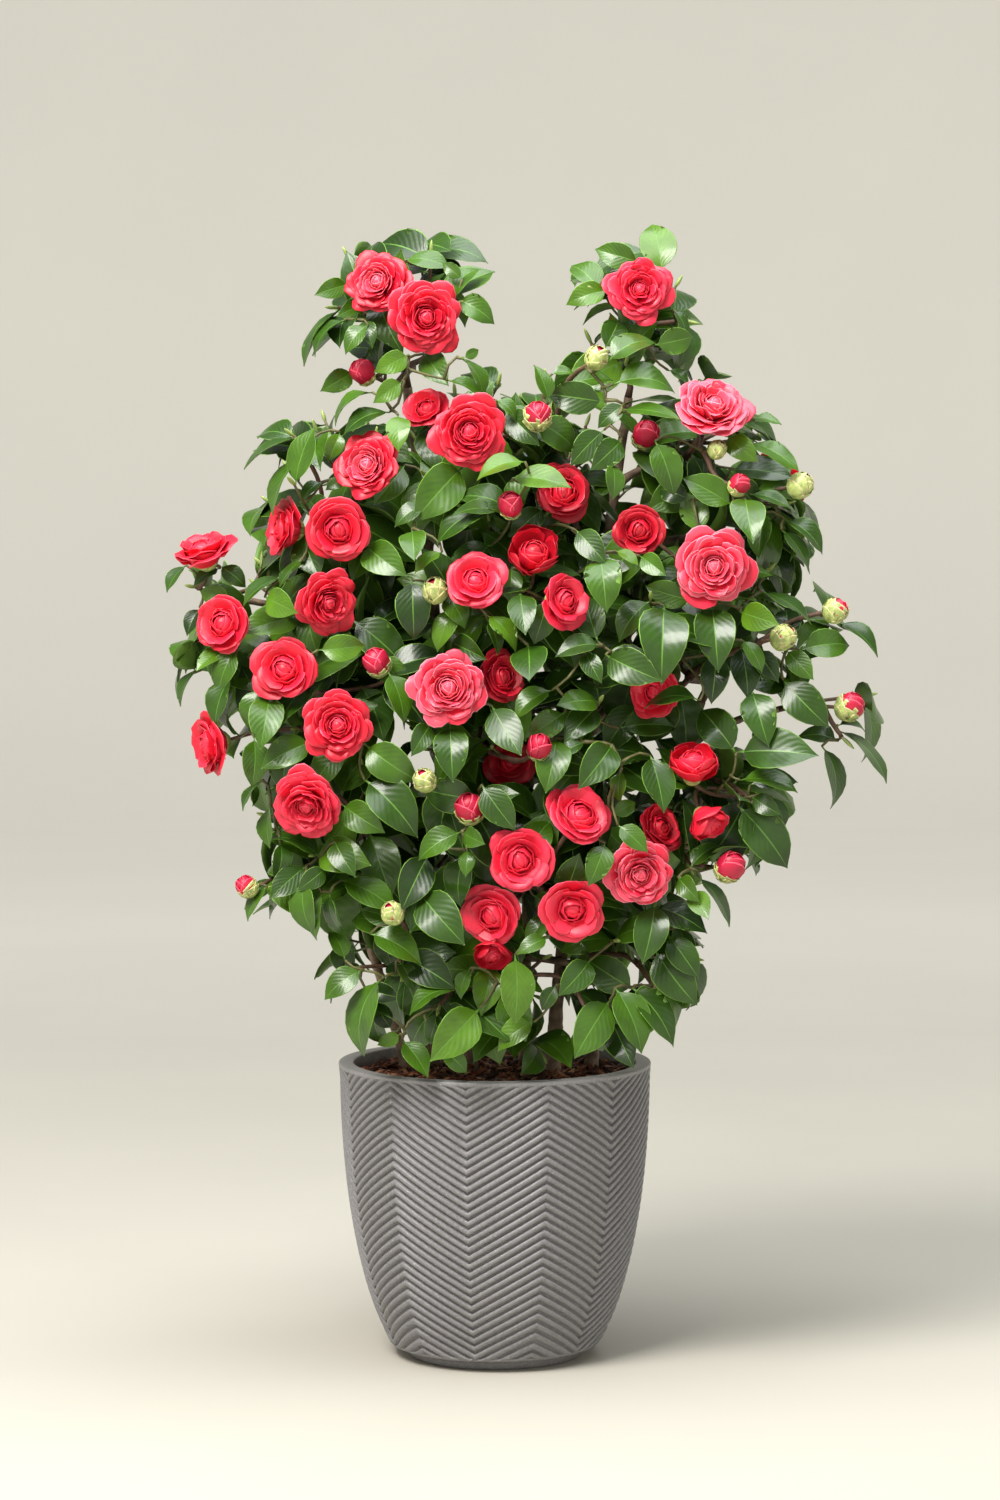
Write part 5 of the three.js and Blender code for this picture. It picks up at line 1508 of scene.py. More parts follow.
def grow_leaves(shoots, foliage, seed):
    """Leaves stand in a spiral on every shoot, from its end backwards."""
    random = Random(seed)
    twigs = twigs_of(shoots)
    first = 0
    for index, shoot in enumerate(shoots):
        turn = index * SHOOT_TURN
        count = len(shoot.points) - 1
        travelled = LEAFY_LENGTH if shoot.ends_in_leaf else 0.0
        rank = 0
        for segment in reversed(range(count)):
            if index == 0 and segment == 0:
                continue
            start, end = shoot.points[segment], shoot.points[segment + 1]
            twig = direction_to(start, end)
            side, other = cross_directions(twig, SPIRAL_REFERENCE)
            length = np.linalg.norm(end - start)
            reach = length - LEAF_FROM_END
            while reach > LEAF_FROM_FORK and travelled < LEAFY_LENGTH:
                turn += GOLDEN_ANGLE
                base = start + twig * reach
                grown = min(1.0, FIRST_LEAF_SHARE + LEAF_SHARE_STEP * rank)
                size = random.between(*LEAF_LENGTHS) * grown
                width = size * random.between(*LEAF_WIDTH_SHARES)
                for attempt in range(LEAF_TRIES):
                    shrink = 1.0 if attempt < LEAF_TRIES // 2 else SHRUNK_LEAF_SHARE
                    angle = turn + attempt * LEAF_TRY_TURN
                    blade, face = leaf_frame(base, twig, angle, side, other, random)
                    leaf = Leaf(base, blade, face, size * shrink, width * shrink, shoot)
                    if foliage.fits(leaf, first + segment, twigs):
                        foliage.add(leaf)
                        before = step_lengths(shoot.points[:segment + 1]).sum()
                        shoot.leaf_places.append(before + reach)
                        rank += 1
                        break
                step = LEAF_SPACINGS[0] + LEAF_SPACINGS[1] * rank
                reach -= step
                travelled += step
        first += count


# Mesh making: shapes are gathered as arrays and turned into one object
class Shapes:
    def __init__(self):
        self.vertices = []
        self.places = []
        self.faces = {3: [], 4: []}
        self.slots = {3: [], 4: []}
        self.count = 0

    def add(self, vertices, quads=(), quad_slots=0, triangles=(), triangle_slots=0, places=None):
        """Places are each point's own share across and along its leaf."""
        for size, faces, slots in ((4, quads, quad_slots), (3, triangles, triangle_slots)):
            if len(faces):
                self.faces[size].append(np.asarray(faces, np.int64) + self.count)
                self.slots[size].append(np.broadcast_to(np.asarray(slots, np.int64), (len(faces),)))
        self.vertices.append(np.asarray(vertices, float))
        self.places.append(np.zeros((len(vertices), 2)) if places is None else places)
        self.count += len(vertices)

    def triangle_count(self):
        return sum(len(f) for f in self.faces[3]) + 2 * sum(len(f) for f in self.faces[4])

    def piece(self, name, materials, slot, smooth=True):
        vertices = np.concatenate(self.vertices) * METRES
        sizes = [size for size in (3, 4) if self.faces[size]]
        faces = {size: np.concatenate(self.faces[size]) for size in sizes}
        loops = np.concatenate([faces[size].ravel() for size in sizes]).astype(np.int32)
        totals = np.concatenate([np.full(len(faces[size]), size) for size in sizes])
        slots = np.concatenate([np.concatenate(self.slots[size]) for size in sizes])
        starts = np.concatenate([[0], np.cumsum(totals)[:-1]])
        mesh = bpy.data.meshes.new(name)
        mesh.vertices.add(len(vertices))
        mesh.vertices.foreach_set("co", vertices.ravel())
        mesh.loops.add(len(loops))
        mesh.loops.foreach_set("vertex_index", loops)
        mesh.polygons.add(len(totals))
        mesh.polygons.foreach_set("loop_start", starts.astype(np.int32))
        mesh.polygons.foreach_set("loop_total", totals.astype(np.int32))
        for finish in materials:
            mesh.materials.append(finish)
        mesh.polygons.foreach_set("material_index", slots.astype(np.int32))
        mesh.polygons.foreach_set("use_smooth", np.full(len(totals), smooth))
        layer = mesh.uv_layers.new(name="place")
        layer.data.foreach_set("uv", np.concatenate(self.places)[loops].ravel())
        mesh.update(calc_edges=True)
        mesh.validate()
        piece = bpy.data.objects.new(name, mesh)
        bpy.context.scene.collection.objects.link(piece)
        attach(piece, "root")
        return piece


class Series:
    """Shapes of one kind, made into numbered pieces as they fill up."""

    def __init__(self, name, materials, slot):
        self.name = name
        self.materials = materials
        self.slot = slot
        self.number = 1
        self.shapes = Shapes()

    def shapes_with_room(self, triangles):
        """The shapes to add to, which are new ones where too few triangles are left."""
        if self.shapes.triangle_count() > PIECE_TRIANGLES - triangles:
            self.finish()
            self.number += 1
            self.shapes = Shapes()
        return self.shapes

    def finish(self):
        self.shapes.piece(f"{self.name}_{self.number}", self.materials, self.slot)


def grid_quads(rows, columns, closed=False):
    """Quads of a grid of points; a closed one joins its last column to its first."""
    across = columns if closed else columns - 1
    row, column = np.meshgrid(np.arange(rows - 1), np.arange(across), indexing="ij")
    row, column = row.ravel(), column.ravel()
    beside = (column + 1) % columns
    return np.stack([row * columns + column, row * columns + beside,
                     (row + 1) * columns + beside, (row + 1) * columns + column], axis=1)


def smooth_line(points, radii, spacing):
    """Points at even steps on a smooth line through the given ones, with radii."""
    lengths = step_lengths(points)
    knots = np.concatenate([[0], np.cumsum(lengths)])
    tangents = np.gradient(points, knots, axis=0)
    steps = max(int(knots[-1] / spacing), 2)
    places = np.linspace(0, knots[-1], steps + 1)
    index = np.clip(np.searchsorted(knots, places, side="right") - 1, 0, len(points) - 2)
    span = lengths[index]
    share = ((places - knots[index]) / span)[:, None]
    span = span[:, None]
    line = ((2 * share ** 3 - 3 * share ** 2 + 1) * points[index]
            + (share ** 3 - 2 * share ** 2 + share) * span * tangents[index]
            + (3 * share ** 2 - 2 * share ** 3) * points[index + 1]
            + (share ** 3 - share ** 2) * span * tangents[index + 1])
    return line, np.interp(places, knots, radii), places


def tube(shapes, line, radii, sides, slot=0, relief=0.0):
    """A closed round tube along a line; relief is added to the radius at each ring and side."""
    count = len(line)
    directions = np.gradient(line, axis=0)
    directions /= np.linalg.norm(directions, axis=1)[:, None]
    sideways = abs(direction_to(line[0], line[-1])[0]) > SIDEWAYS_FROM
    side = np.cross(directions, [0.0, 1.0, 0.0] if sideways else [1.0, 0.0, 0.0])
    side /= np.linalg.norm(side, axis=1)[:, None]
    other = np.cross(side, directions)
    angles = round_angles(sides)[None, :, None]
    ring = side[:, None] * np.cos(angles) + other[:, None] * np.sin(angles)
    radius = np.repeat(radii[:, None], sides, axis=1) + relief
    vertices = (line[:, None] + ring * radius[..., None]).reshape(-1, 3)
    vertices = np.vstack([vertices, line[0], line[-1]])
    corner = np.arange(sides)
    beside = (corner + 1) % sides
    low = np.full(sides, count * sides)
    last = (count - 1) * sides
    triangles = np.vstack([np.stack([low, beside, corner], 1),
                           np.stack([low + 1, last + corner, last + beside], 1)])
    shapes.add(vertices, grid_quads(count, sides, closed=True), slot, triangles, slot)


def ripple(places, sides, random, size):
    """Bark relief: slow ridges along the wood, broken by knots and rings of old leaf scars."""
    angles = round_angles(sides)
    relief = np.zeros((len(places), sides))
    for strength, low, high in RIDGES:
        for _ in range(RIDGES_OF_A_KIND):
            turns = 1 + int(random() * MOST_RIDGE_TURNS)
            pace = random.between(low, high)
            shift = random.angle()
            relief += np.sin(turns * angles[None] + pace * places[:, None] + shift) * strength
    scar = random.between(*FIRST_SCARS)
    while scar < places[-1]:
        lean = np.maximum(np.cos(angles - random.angle()), 0)[None]
        ring = np.exp(-((places - scar) / SCAR_WIDTH) ** 2)
        relief += ring[:, None] * (SCAR_RING + SCAR_KNOT * lean ** 3)
        scar += random.between(*SCAR_STEPS)
    return relief * size


# Materials
def feed(tree, socket, value):
    """Sets a socket to a number or colour, or links it to another node's output."""
    if isinstance(value, bpy.types.NodeSocket):
        tree.links.new(value, socket)
    else:
        socket.default_value = value


def added(tree, kind, **inputs):
    """A new shader node with its inputs fed."""
    node = tree.nodes.new("ShaderNode" + kind)
    for name, value in inputs.items():
        feed(tree, node.inputs[name.replace("_", " ")], value)
    return node


def maths(tree, operation, *values, kind="Math"):
    """A maths node with its inputs fed in order."""
    node = tree.nodes.new("ShaderNode" + kind)
    node.operation = operation
    for socket, value in zip(node.inputs, values):
        feed(tree, socket, value)
    return node


def add_bump(tree, height, strength):
    shader = tree.nodes["Principled BSDF"]
    bump = added(tree, "Bump", Strength=strength, Distance=BUMP_DISTANCE, Height=height)
    if shader.inputs["Normal"].is_linked:
        tree.links.new(shader.inputs["Normal"].links[0].from_socket, bump.inputs["Normal"])
    tree.links.new(bump.outputs["Normal"], shader.inputs["Normal"])


def noise(tree, scale, detail):
    place = added(tree, "TexCoord").outputs["Object"]
    return added(tree, "TexNoise", Scale=scale, Detail=detail, Vector=place).outputs["Fac"]


def material(name, colour, roughness, variation=0.25, scale=60.0, bump=0.0, bump_scale=400.0,
             glints=0.0, **sockets):
    """A principled surface whose colour and height vary with noise, with pale specks of painted glint if
    asked.
    """
    made = bpy.data.materials.new(name)
    made.use_nodes = True
    tree = made.node_tree
    shader = tree.nodes["Principled BSDF"]
    ramp = added(tree, "ValToRGB", Fac=noise(tree, scale, COLOUR_DETAIL))
    shares = (1 - variation, 1 + variation)
    for element, place, share in zip(ramp.color_ramp.elements, RAMP_PLACES, shares):
        element.position = place
        element.color = (*[min(channel * share, 1.0) for channel in colour], 1)
    tree.links.new(ramp.outputs["Color"], shader.inputs["Base Color"])
    # Painted glints: pale specks of noise mixed into the base colour
    if glints:
        glint_spots = added(tree, "ValToRGB", Fac=noise(tree, GLINT_SCALE, 1.0))
        glint_spots.color_ramp.elements[0].position = GLINTS_FROM
        glint_spots.color_ramp.elements[1].position = GLINTS_FROM + GLINT_EDGE
        mix = tree.nodes.new("ShaderNodeMix")
        mix.data_type = "RGBA"
        mix.inputs["B"].default_value = (glints, glints, glints, 1)
        tree.links.new(glint_spots.outputs["Color"], mix.inputs["Factor"])
        tree.links.new(ramp.outputs["Color"], mix.inputs["A"])
        tree.links.new(mix.outputs["Result"], shader.inputs["Base Color"])
    shader.inputs["Roughness"].default_value = roughness
    for socket, value in sockets.items():
        shader.inputs[socket.replace("_", " ")].default_value = value
    if bump:
        add_bump(tree, noise(tree, bump_scale, BUMP_DETAIL), bump)
    return made


def finished(*names):
    return [material(name, *FINISHES[name]) for name in names]


def add_veins(made):
    """Side veins that run forward from the midrib of each leaf."""
    tree = made.node_tree
    place = added(tree, "TexCoord").outputs["UV"]
    parts = added(tree, "SeparateXYZ", Vector=place).outputs

    def result(operation, *values):
        return maths(tree, operation, *values).outputs["Value"]

    from_rib = result("ABSOLUTE", result("SUBTRACT", parts["X"], 0.5))
    along = result("MULTIPLY", parts["Y"], VEIN_PACE)
    phase = result("SUBTRACT", along, result("MULTIPLY", from_rib, VEIN_SLANT))
    add_bump(tree, result("SINE", phase), VEIN_BUMP)


def leaf_materials():
    made = [
        material(name, colour, *LEAF_FINISH, Specular_IOR_Level=0.35, Coat_Weight=0.3,
                 Coat_Roughness=0.16)
        for name, colour in LEAF_GREENS.items()
    ]
    for green in made:
        add_veins(green)
    return made + finished("leaf_rib", "leaf_margin", "leaf_under")


def petal_materials():
    return [
        material(name, colour, *PETAL_FINISH, Subsurface_Weight=0.12, Subsurface_Scale=0.004)
        for name, colour in PETAL_COLOURS.items()
    ]


# Planter
def wall_radius(z):
    share = np.clip(np.asarray(z, float) / POT_HEIGHT, 0, 1)
    return WALL_FOOT_RADIUS + WALL_SWELL * (1 - (1 - share) ** WALL_STEEPENING) ** WALL_ROUNDNESS


def pot_rings(radius, z):
    """Points round the pot for rings of radii and heights; a column stands on each edge of a panel."""
    angles = FIRST_VALLEY + round_angles(POT_COLUMNS)
    radius, z = np.broadcast_arrays(radius, z, subok=False)
    radius = np.broadcast_to(radius, (len(radius), POT_COLUMNS))
    z = np.broadcast_to(z, (len(z), POT_COLUMNS))
    return np.stack([radius * np.sin(angles), -radius * np.cos(angles), z], -1).reshape(-1, 3)


def ribbed_wall(shapes):
    """The outer wall as a grid whose rows follow the ribs, trimmed where the plain bands start."""
    panel_turn = FULL_TURN / PANELS
    across = np.arange(POT_COLUMNS) / POT_COLUMNS * PANELS
    climb = 1 - np.abs(across % 2 - 1)
    below = RIB_CLIMB * panel_turn * (WALL_FOOT_RADIUS + WALL_SWELL)
    ribs = np.arange(-math.ceil(below / RIB_PITCH) - 1, math.ceil(RIBS_TO_Z / RIB_PITCH) + 1)
    phases = np.array([phase for phase, _ in RIB_PROFILE])
    start_z = (RIBS_FROM_Z + (ribs[:, None] + phases[None]) * RIB_PITCH).ravel()
    depth = np.tile([depth for _, depth in RIB_PROFILE], len(ribs)) * RIB_DEPTH
    lift = RIB_CLIMB * panel_turn * wall_radius(start_z)
    z = np.clip(start_z[:, None] + lift[:, None] * climb[None], RIBS_FROM_Z, RIBS_TO_Z)
    from_band = np.minimum(z - RIBS_FROM_Z, RIBS_TO_Z - z)
    pleat = PLEAT_DEPTH * (1 - climb)[None] * np.clip(from_band / PLEAT_FADE, 0, 1)
    vertices = pot_rings(wall_radius(z) - pleat - depth[:, None] * np.clip(from_band / RIB_FADE, 0, 1), z)
    quads = grid_quads(len(z), POT_COLUMNS, closed=True)
    heights = z.ravel()[quads]
    kept = heights.max(axis=1) - heights.min(axis=1) > TINY
    shapes.add(vertices, quads[kept], 0)


def turned(shapes, profile, slots):
    """Rings of [radius, z] points round the Z axis, joined in order; one slot for each band."""
    profile = np.array(profile, float)
    vertices = pot_rings(profile[:, :1], profile[:, 1:])
    shapes.add(vertices, grid_quads(len(profile), POT_COLUMNS, closed=True), np.repeat(slots, POT_COLUMNS))


def arc(centre, radius, start, end, steps):
    angles = np.radians(np.linspace(start, end, steps + 1))
    return [(centre[0] + radius * math.cos(a), centre[1] + radius * math.sin(a)) for a in angles]


def weld(piece):
    """Joins the points that meet along the borders of a piece's parts."""
    made = bmesh.new()
    made.from_mesh(piece.data)
    bmesh.ops.remove_doubles(made, verts=made.verts, dist=WELD_DISTANCE)
    bmesh.ops.dissolve_degenerate(made, dist=WELD_DISTANCE / 2, edges=made.edges)
    bmesh.ops.recalc_face_normals(made, faces=made.faces)
    made.to_mesh(piece.data)
    made.free()
    piece.data.update()


def planter():
    shapes = Shapes()
    ribbed_wall(shapes)
    outer = float(wall_radius(POT_HEIGHT))
    inner = outer - WALL_THICKNESS
    flat = FOOT_RADIUS - FOOT_ROUND
    ledge_z = FOOT_HEIGHT - LEDGE_DROP
    lower = [(AXIS_RADIUS, 0), (flat, 0), *arc((flat, FOOT_ROUND), FOOT_ROUND, -90, 0, ARC_STEPS - 1),
             (FOOT_RADIUS, FOOT_HEIGHT - FOOT_BEVEL), (FOOT_RADIUS - FOOT_LEDGE, ledge_z),
             (float(wall_radius(FOOT_HEIGHT)) - FOOT_LEDGE, ledge_z),
             (float(wall_radius(RIBS_FROM_Z)), RIBS_FROM_Z)]
    turned(shapes, lower, [0] * (len(lower) - 1))
    upper = [(float(wall_radius(RIBS_TO_Z)), RIBS_TO_Z),
             *arc((outer - RIM_ROUND, POT_HEIGHT - RIM_ROUND), RIM_ROUND, 0, 90, ARC_STEPS),
             *arc((inner + RIM_ROUND, POT_HEIGHT - RIM_ROUND), RIM_ROUND, 90, 180, ARC_STEPS)]
    rim_bands = len(upper) - 1
    upper += [(float(wall_radius(z)) - WALL_THICKNESS, z) for z in INNER_WALL_STEPS]
    upper += [(float(wall_radius(FLOOR_Z)) - WALL_THICKNESS - FLOOR_CORNER, FLOOR_Z),
              (AXIS_RADIUS, FLOOR_Z)]
    # The rim's bands take the paler concrete, a painted highlight on the top of the rim
    turned(shapes, upper, [1] * rim_bands + [0] * (len(upper) - 1 - rim_bands))
    piece = shapes.piece("planter_wall", finished("concrete", "concrete_rim_lit"), "planter")
    weld(piece)
    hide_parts("pot")


# Mulch
def turning(heading, tip, roll):
    c, s = math.cos(heading), math.sin(heading)
    about_z = np.array([[c, -s, 0], [s, c, 0], [0, 0, 1]])
    c, s = math.cos(tip), math.sin(tip)
    about_y = np.array([[c, 0, s], [0, 1, 0], [-s, 0, c]])
    c, s = math.cos(roll), math.sin(roll)
    about_x = np.array([[1, 0, 0], [0, c, -s], [0, s, c]])
    return about_z @ about_y @ about_x


def mulch():
    """Bark chips: bent boxes that lie on the soil at all angles."""
    random = Random(CHIP_SEED)
    shapes = Shapes()
    corners = np.array([(x, y, z) for z in (-1, 1) for y in (-1, 1) for x in (-1, 1)], float)
    quads = np.array([(0, 2, 3, 1), (4, 5, 7, 6), (0, 1, 5, 4), (2, 6, 7, 3), (0, 4, 6, 2), (1, 3, 7, 5)])
    rim = float(wall_radius(SOIL_TOP_Z)) - WALL_THICKNESS - CHIP_RIM_GAP
    for _ in range(CHIP_COUNT):
        distance = rim * math.sqrt(random())
        turn = random.angle()
        size = random.between(*CHIP_SIZES)
        half = np.array([random.between(*halves) for halves in CHIP_HALVES]) * size
        jitter = np.array([[random.between(*CHIP_CORNERS) for _ in range(3)] for _ in range(8)])
        tilt = turning(random() * math.pi, random.between(*CHIP_TIPS), random.between(*CHIP_ROLLS))
        drop = (SOIL_TOP_Z - SOIL_EDGE_Z) * max(0.0, distance - SOIL_TOP_RADIUS) / (rim - SOIL_TOP_RADIUS)
        height = SOIL_TOP_Z - drop + random.between(*CHIP_LIFTS)
        place = np.array([distance * math.sin(turn), distance * math.cos(turn), height])
        slot = int(np.searchsorted(CHIP_SHADES, random()))
        shapes.add(corners * half * jitter @ tilt.T + place, quads, slot)
    shapes.piece("mulch_chips", finished("chip_dark", "chip_red", "chip_tan"), "mulch", smooth=False)
    soil = bpy.data.objects["soil"]
    soil.data.materials.clear()
    soil.data.materials.append(finished("soil_dark")[0])


# Wood
def bark(limbs):
    shapes = Shapes()
    for index, limb in enumerate(limbs):
        random = Random(BARK_SEED + index * BARK_SEED_STEP)
        line, radii, places = smooth_line(limb.points, limb.radii, BARK_SPACING)
        swelling = BOUGH_COLLAR if limb.parent else -FLARE_TRIM
        radii = radii * (1 + swelling * np.exp(-places / COLLAR_REACH))
        tube(shapes, line, radii, BARK_SIDES, 0, ripple(places, BARK_SIDES, random, radii.mean()))
    piece = shapes.piece("bark_limbs", finished("bark_grey"), "bark")
    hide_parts(*[limb.name for limb in limbs])


def twig_wood(growths):
    shapes = Shapes()
    for mass, limb, shoots in growths:
        random = Random(TWIG_SEED + mass)
        for shoot in shoots:
            points, radii = shoot.points, shoot.radii
            if shoot.parent is None:
                points = np.vstack([limb.points[-1], points])
                radii = np.append(max(limb.radii[-1], radii[0]), radii)
            line, radii, places = smooth_line(points, radii, TWIG_RING_SPACING)
            if shoot.parent:
                radii = radii * (1 + TWIG_COLLAR * np.exp(-places / TWIG_COLLAR_REACH))
            sides = FINE_SIDES if shoot.fine else TWIG_SIDES
            relief = ripple(places, sides, random, radii.mean() * TWIG_RELIEF)
            tube(shapes, line, radii, sides, int(shoot.fine), relief)
            if not shoot.flower and not shoot.ends_in_leaf:
                leaf_bud(shapes, points[-1], shoot.direction, random)
    piece = shapes.piece("twigs", finished("twig_brown", "twig_young", "leaf_bud_green"), "bark")
    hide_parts(*["mass_" + row[0] for row in MASSES])


def leaf_bud(shapes, place, direction, random):
    """The slim pointed bud that ends a shoot."""
    line = place + direction * LEAF_BUD_S[:, None] * random.between(*LEAF_BUD_LENGTHS)
    tube(shapes, line, LEAF_BUD_RADIUS * LEAF_BUD_SWELL + LEAF_BUD_TIP_RADIUS, FINE_SIDES, 2)


# Leaves: their shape
def leaf_sides(leaf, random):
    """Points of the upper and the under side of one curved blade."""
    fold = random.between(*LEAF_FOLDS)
    lift = random.between(*LEAF_LIFTS)
    arch = random.between(*LEAF_ARCHES)
    sway = random.between(*LEAF_SWAYS)
    twist = random.between(*LEAF_TWISTS)
    wave = random.between(*LEAF_WAVES)
    phase = random.angle()
    slope = lift - arch * LEAF_S ** ARCH_POWER
    steps = np.diff(LEAF_S, prepend=0) * leaf.length
    along = np.cumsum(np.cos(slope) * steps)[:, None]
    climb = np.cumsum(np.sin(slope) * steps)[:, None]
    s = LEAF_S[:, None]
    half = LEAF_HALF[:, None] * leaf.width / 2

    def side(columns, below):
        t = columns[None]
        across = half * t
        folded = fold * np.abs(across) * (1 - FOLD_FLATTENING * np.abs(t))
        rise = climb + folded + twist * across * (s - TWIST_PIVOT)
        waves = wave * np.sin(s * WAVE_PACE + phase + np.sign(t) * WAVE_SHIFT)
        rise = rise + waves * t ** 2 * np.minimum(half / WAVE_FULL_FROM, 1)
        if below:
            rise = rise - LEAF_THICKNESS * (1 - t ** 4) - UNDER_RIB * (np.abs(t) < UNDER_RIB_HALF)
        shift = sway * leaf.length * s ** 2
        return (leaf.base + leaf.blade * along[..., None] + leaf.across * (across + shift)[..., None]
                + leaf.face * rise[..., None])

    return side(TOP_COLUMNS, False), side(UNDER_COLUMNS, True)


def leaf_template():
    """Faces of a leaf, with their kinds: blade, rib, margin, under side."""
    rows, wide, narrow = len(LEAF_S), len(TOP_COLUMNS), len(UNDER_COLUMNS)
    kinds = np.zeros((rows - 1, wide - 1), int)
    kinds[:, wide // 2 - 1] = 1
    kinds[:2] = 1
    kinds[2:, [0, -1]] = 2
    index = np.zeros((rows, narrow), int)
    index[:, 0] = np.arange(rows) * wide
    index[:, -1] = np.arange(rows) * wide + wide - 1
    index[:, 1:-1] = rows * wide + np.arange(rows * (narrow - 2)).reshape(rows, narrow - 2)
    under = index.ravel()[grid_quads(rows, narrow)][:, ::-1]
    ends = []
    for row, turn in ((0, -1), (rows - 1, 1)):
        ring = (list(row * wide + np.arange(wide)) + list(index[row, 1:-1][::-1]))[::turn]
        ends += [(ring[0], ring[k], ring[k + 1]) for k in range(1, len(ring) - 1)]
    quads = np.vstack([grid_quads(rows, wide), under])
    kinds = np.concatenate([kinds.ravel(), np.full(len(under), 3)])
    places = [((t + 1) / 2, s) for s in LEAF_S for t in TOP_COLUMNS]
    places += [((t + 1) / 2, s) for s in LEAF_S for t in UNDER_COLUMNS[1:-1]]
    return quads, kinds, np.array(ends), np.array(places)


def leaf_tone(leaf, random):
    """Each shoot has its own mean tone, unless the photograph shows the leaf's, whose tone is partly painted
    shade.
    """
    if leaf.tone is not None:
        return leaf.tone
    end = leaf.shoot.points[-1]
    own = abs(math.sin(end[0] * TONE_PACES[0] + end[2] * TONE_PACES[1]))
    value = own * SHOOT_TONE_SHARE + random() * (1 - SHOOT_TONE_SHARE)
    return int(np.searchsorted(TONE_STEPS, value))


def leaf_pieces(foliage):
    materials = leaf_materials()
    quads, kinds, ends, places = leaf_template()
    series = Series("leaves", materials, "foliage")
    random = Random(LEAF_SHAPE_SEED)
    for leaf in foliage.leaves:
        top, under = leaf_sides(leaf, random)
        vertices = np.vstack([top.reshape(-1, 3), under[:, 1:-1].reshape(-1, 3)])
        slots = np.choose(kinds, [leaf_tone(leaf, random), *range(len(LEAF_GREENS), len(materials))])
        series.shapes_with_room(0).add(vertices, quads, slots, ends, len(LEAF_GREENS), places)
    series.finish()


# Blooms
def petal_grid(reach, height, half, upright, curl, base, random):
    """One petal in its flower's own frame, growing along +X from the middle, as a grid."""
    s, t = PETAL_S[:, None], PETAL_T[None]
    notch = random.between(*PETAL_NOTCHES) * np.exp(-(t / NOTCH_HALF_WIDTH) ** 2) * s ** NOTCH_POWER
    along = s * (1 - TIP_ROUNDING * np.abs(t) ** random.between(*PETAL_TIP_POWERS)) - notch
    flat = 1 - upright
    knee = reach * (KNEE_REACH + UPRIGHT_KNEE_REACH * upright)
    upright_knee = base + (height - base) * UPRIGHT_KNEE_RISE
    knee_height = (height + KNEE_RISE) * flat + upright_knee * upright
    tip = reach * (1 - UPRIGHT_TIP_PULL * upright)
    radial = PETAL_START * (1 - along) ** 2 + knee * 2 * along * (1 - along) + tip * along ** 2
    rise = base * (1 - along) ** 2 + knee_height * 2 * along * (1 - along) + height * along ** 2
    widening = np.sin(np.clip(along / PETAL_SHOULDER, 0, 1) * math.pi / 2)
    across = t * half * (PETAL_WAIST + (1 - PETAL_WAIST) * widening)
    lip = np.maximum(s - LIP_FROM, 0) ** 2 * LIP_STEEPNESS
    radial = radial + upright * (IMBRICATION * t * s + PETAL_LIP * lip)
    arm = np.maximum(radial, LEAST_ARM) * (1 + 2 * flat ** 2)
    wrap = np.clip(across / arm, -MOST_WRAP, MOST_WRAP)
    size = random.between(*RUFFLES) * PETAL_RUFFLE
    ruffle = size * np.sin(t * RUFFLE_PACE + random() * RUFFLE_PHASES) * s ** 2
    z = rise + ruffle + curl * t ** 2 * s + flat * (IMBRICATION * t * s - PETAL_LIP * lip)
    return np.stack([radial - arm * (1 - np.cos(wrap)), arm * np.sin(wrap), z], -1)


def egg_grid(half_turn, low, high, distance, length):
    """A scale or petal that hugs a ball from one angle off its foot to another."""
    s, t = EGG_S[:, None], EGG_T[None]
    angle = low + (high - low) * s * (1 - EGG_ROUNDING * np.abs(t) ** 2)
    turn = t * half_turn * (0.5 + 0.5 * np.sin(np.clip(s / EGG_SHOULDER, 0, 1) * math.pi / 2))
    across = np.sin(angle) * distance
    return np.stack([across * np.cos(turn), -across * np.sin(turn), -np.cos(angle) * length * distance], -1)


def thin_sheet(shapes, grid, frame, centre, radius, slots, thickness):
    """A closed sheet round a grid, whose slots are the strips' on its upper side."""
    rows, columns = grid.shape[:2]
    normal = np.cross(np.gradient(grid, axis=0), np.gradient(grid, axis=1))
    normal /= np.maximum(np.linalg.norm(normal, axis=-1)[..., None], TINY)
    inside = np.zeros((rows, columns), bool)
    inside[:-1, 1:-1] = True
    under = np.arange(rows * columns).reshape(rows, columns)
    under[inside] = rows * columns + np.arange(inside.sum())
    vertices = np.vstack([grid.reshape(-1, 3), (grid - normal * thickness)[inside]])
    quads = grid_quads(rows, columns)
    faces = np.vstack([quads[:, ::-1], under.ravel()[quads]])
    body = np.full(len(quads), slots[0, 0])
    shapes.add(centre + vertices * radius @ frame, faces, np.concatenate([slots.ravel(), body]))


def petal_slots(grid, body, band, rim):
    slots = np.full((grid.shape[0] - 1, grid.shape[1] - 1), body)
    slots[-3:-1] = band
    # The rim strip is paler: partly the petal's own edge colour, partly a painted highlight along the edge
    slots[3:, [0, -1]] = rim
    slots[-1] = rim
    return slots


def flower_frame(direction, random):
    side, other = cross_directions(direction, FLOWER_REFERENCE)
    return turned_frame(np.array([side, other, direction]), random.angle())


def turned_frame(frame, angle):
    x = frame[0] * math.cos(angle) + frame[1] * math.sin(angle)
    return np.array([x, np.cross(frame[2], x), frame[2]])


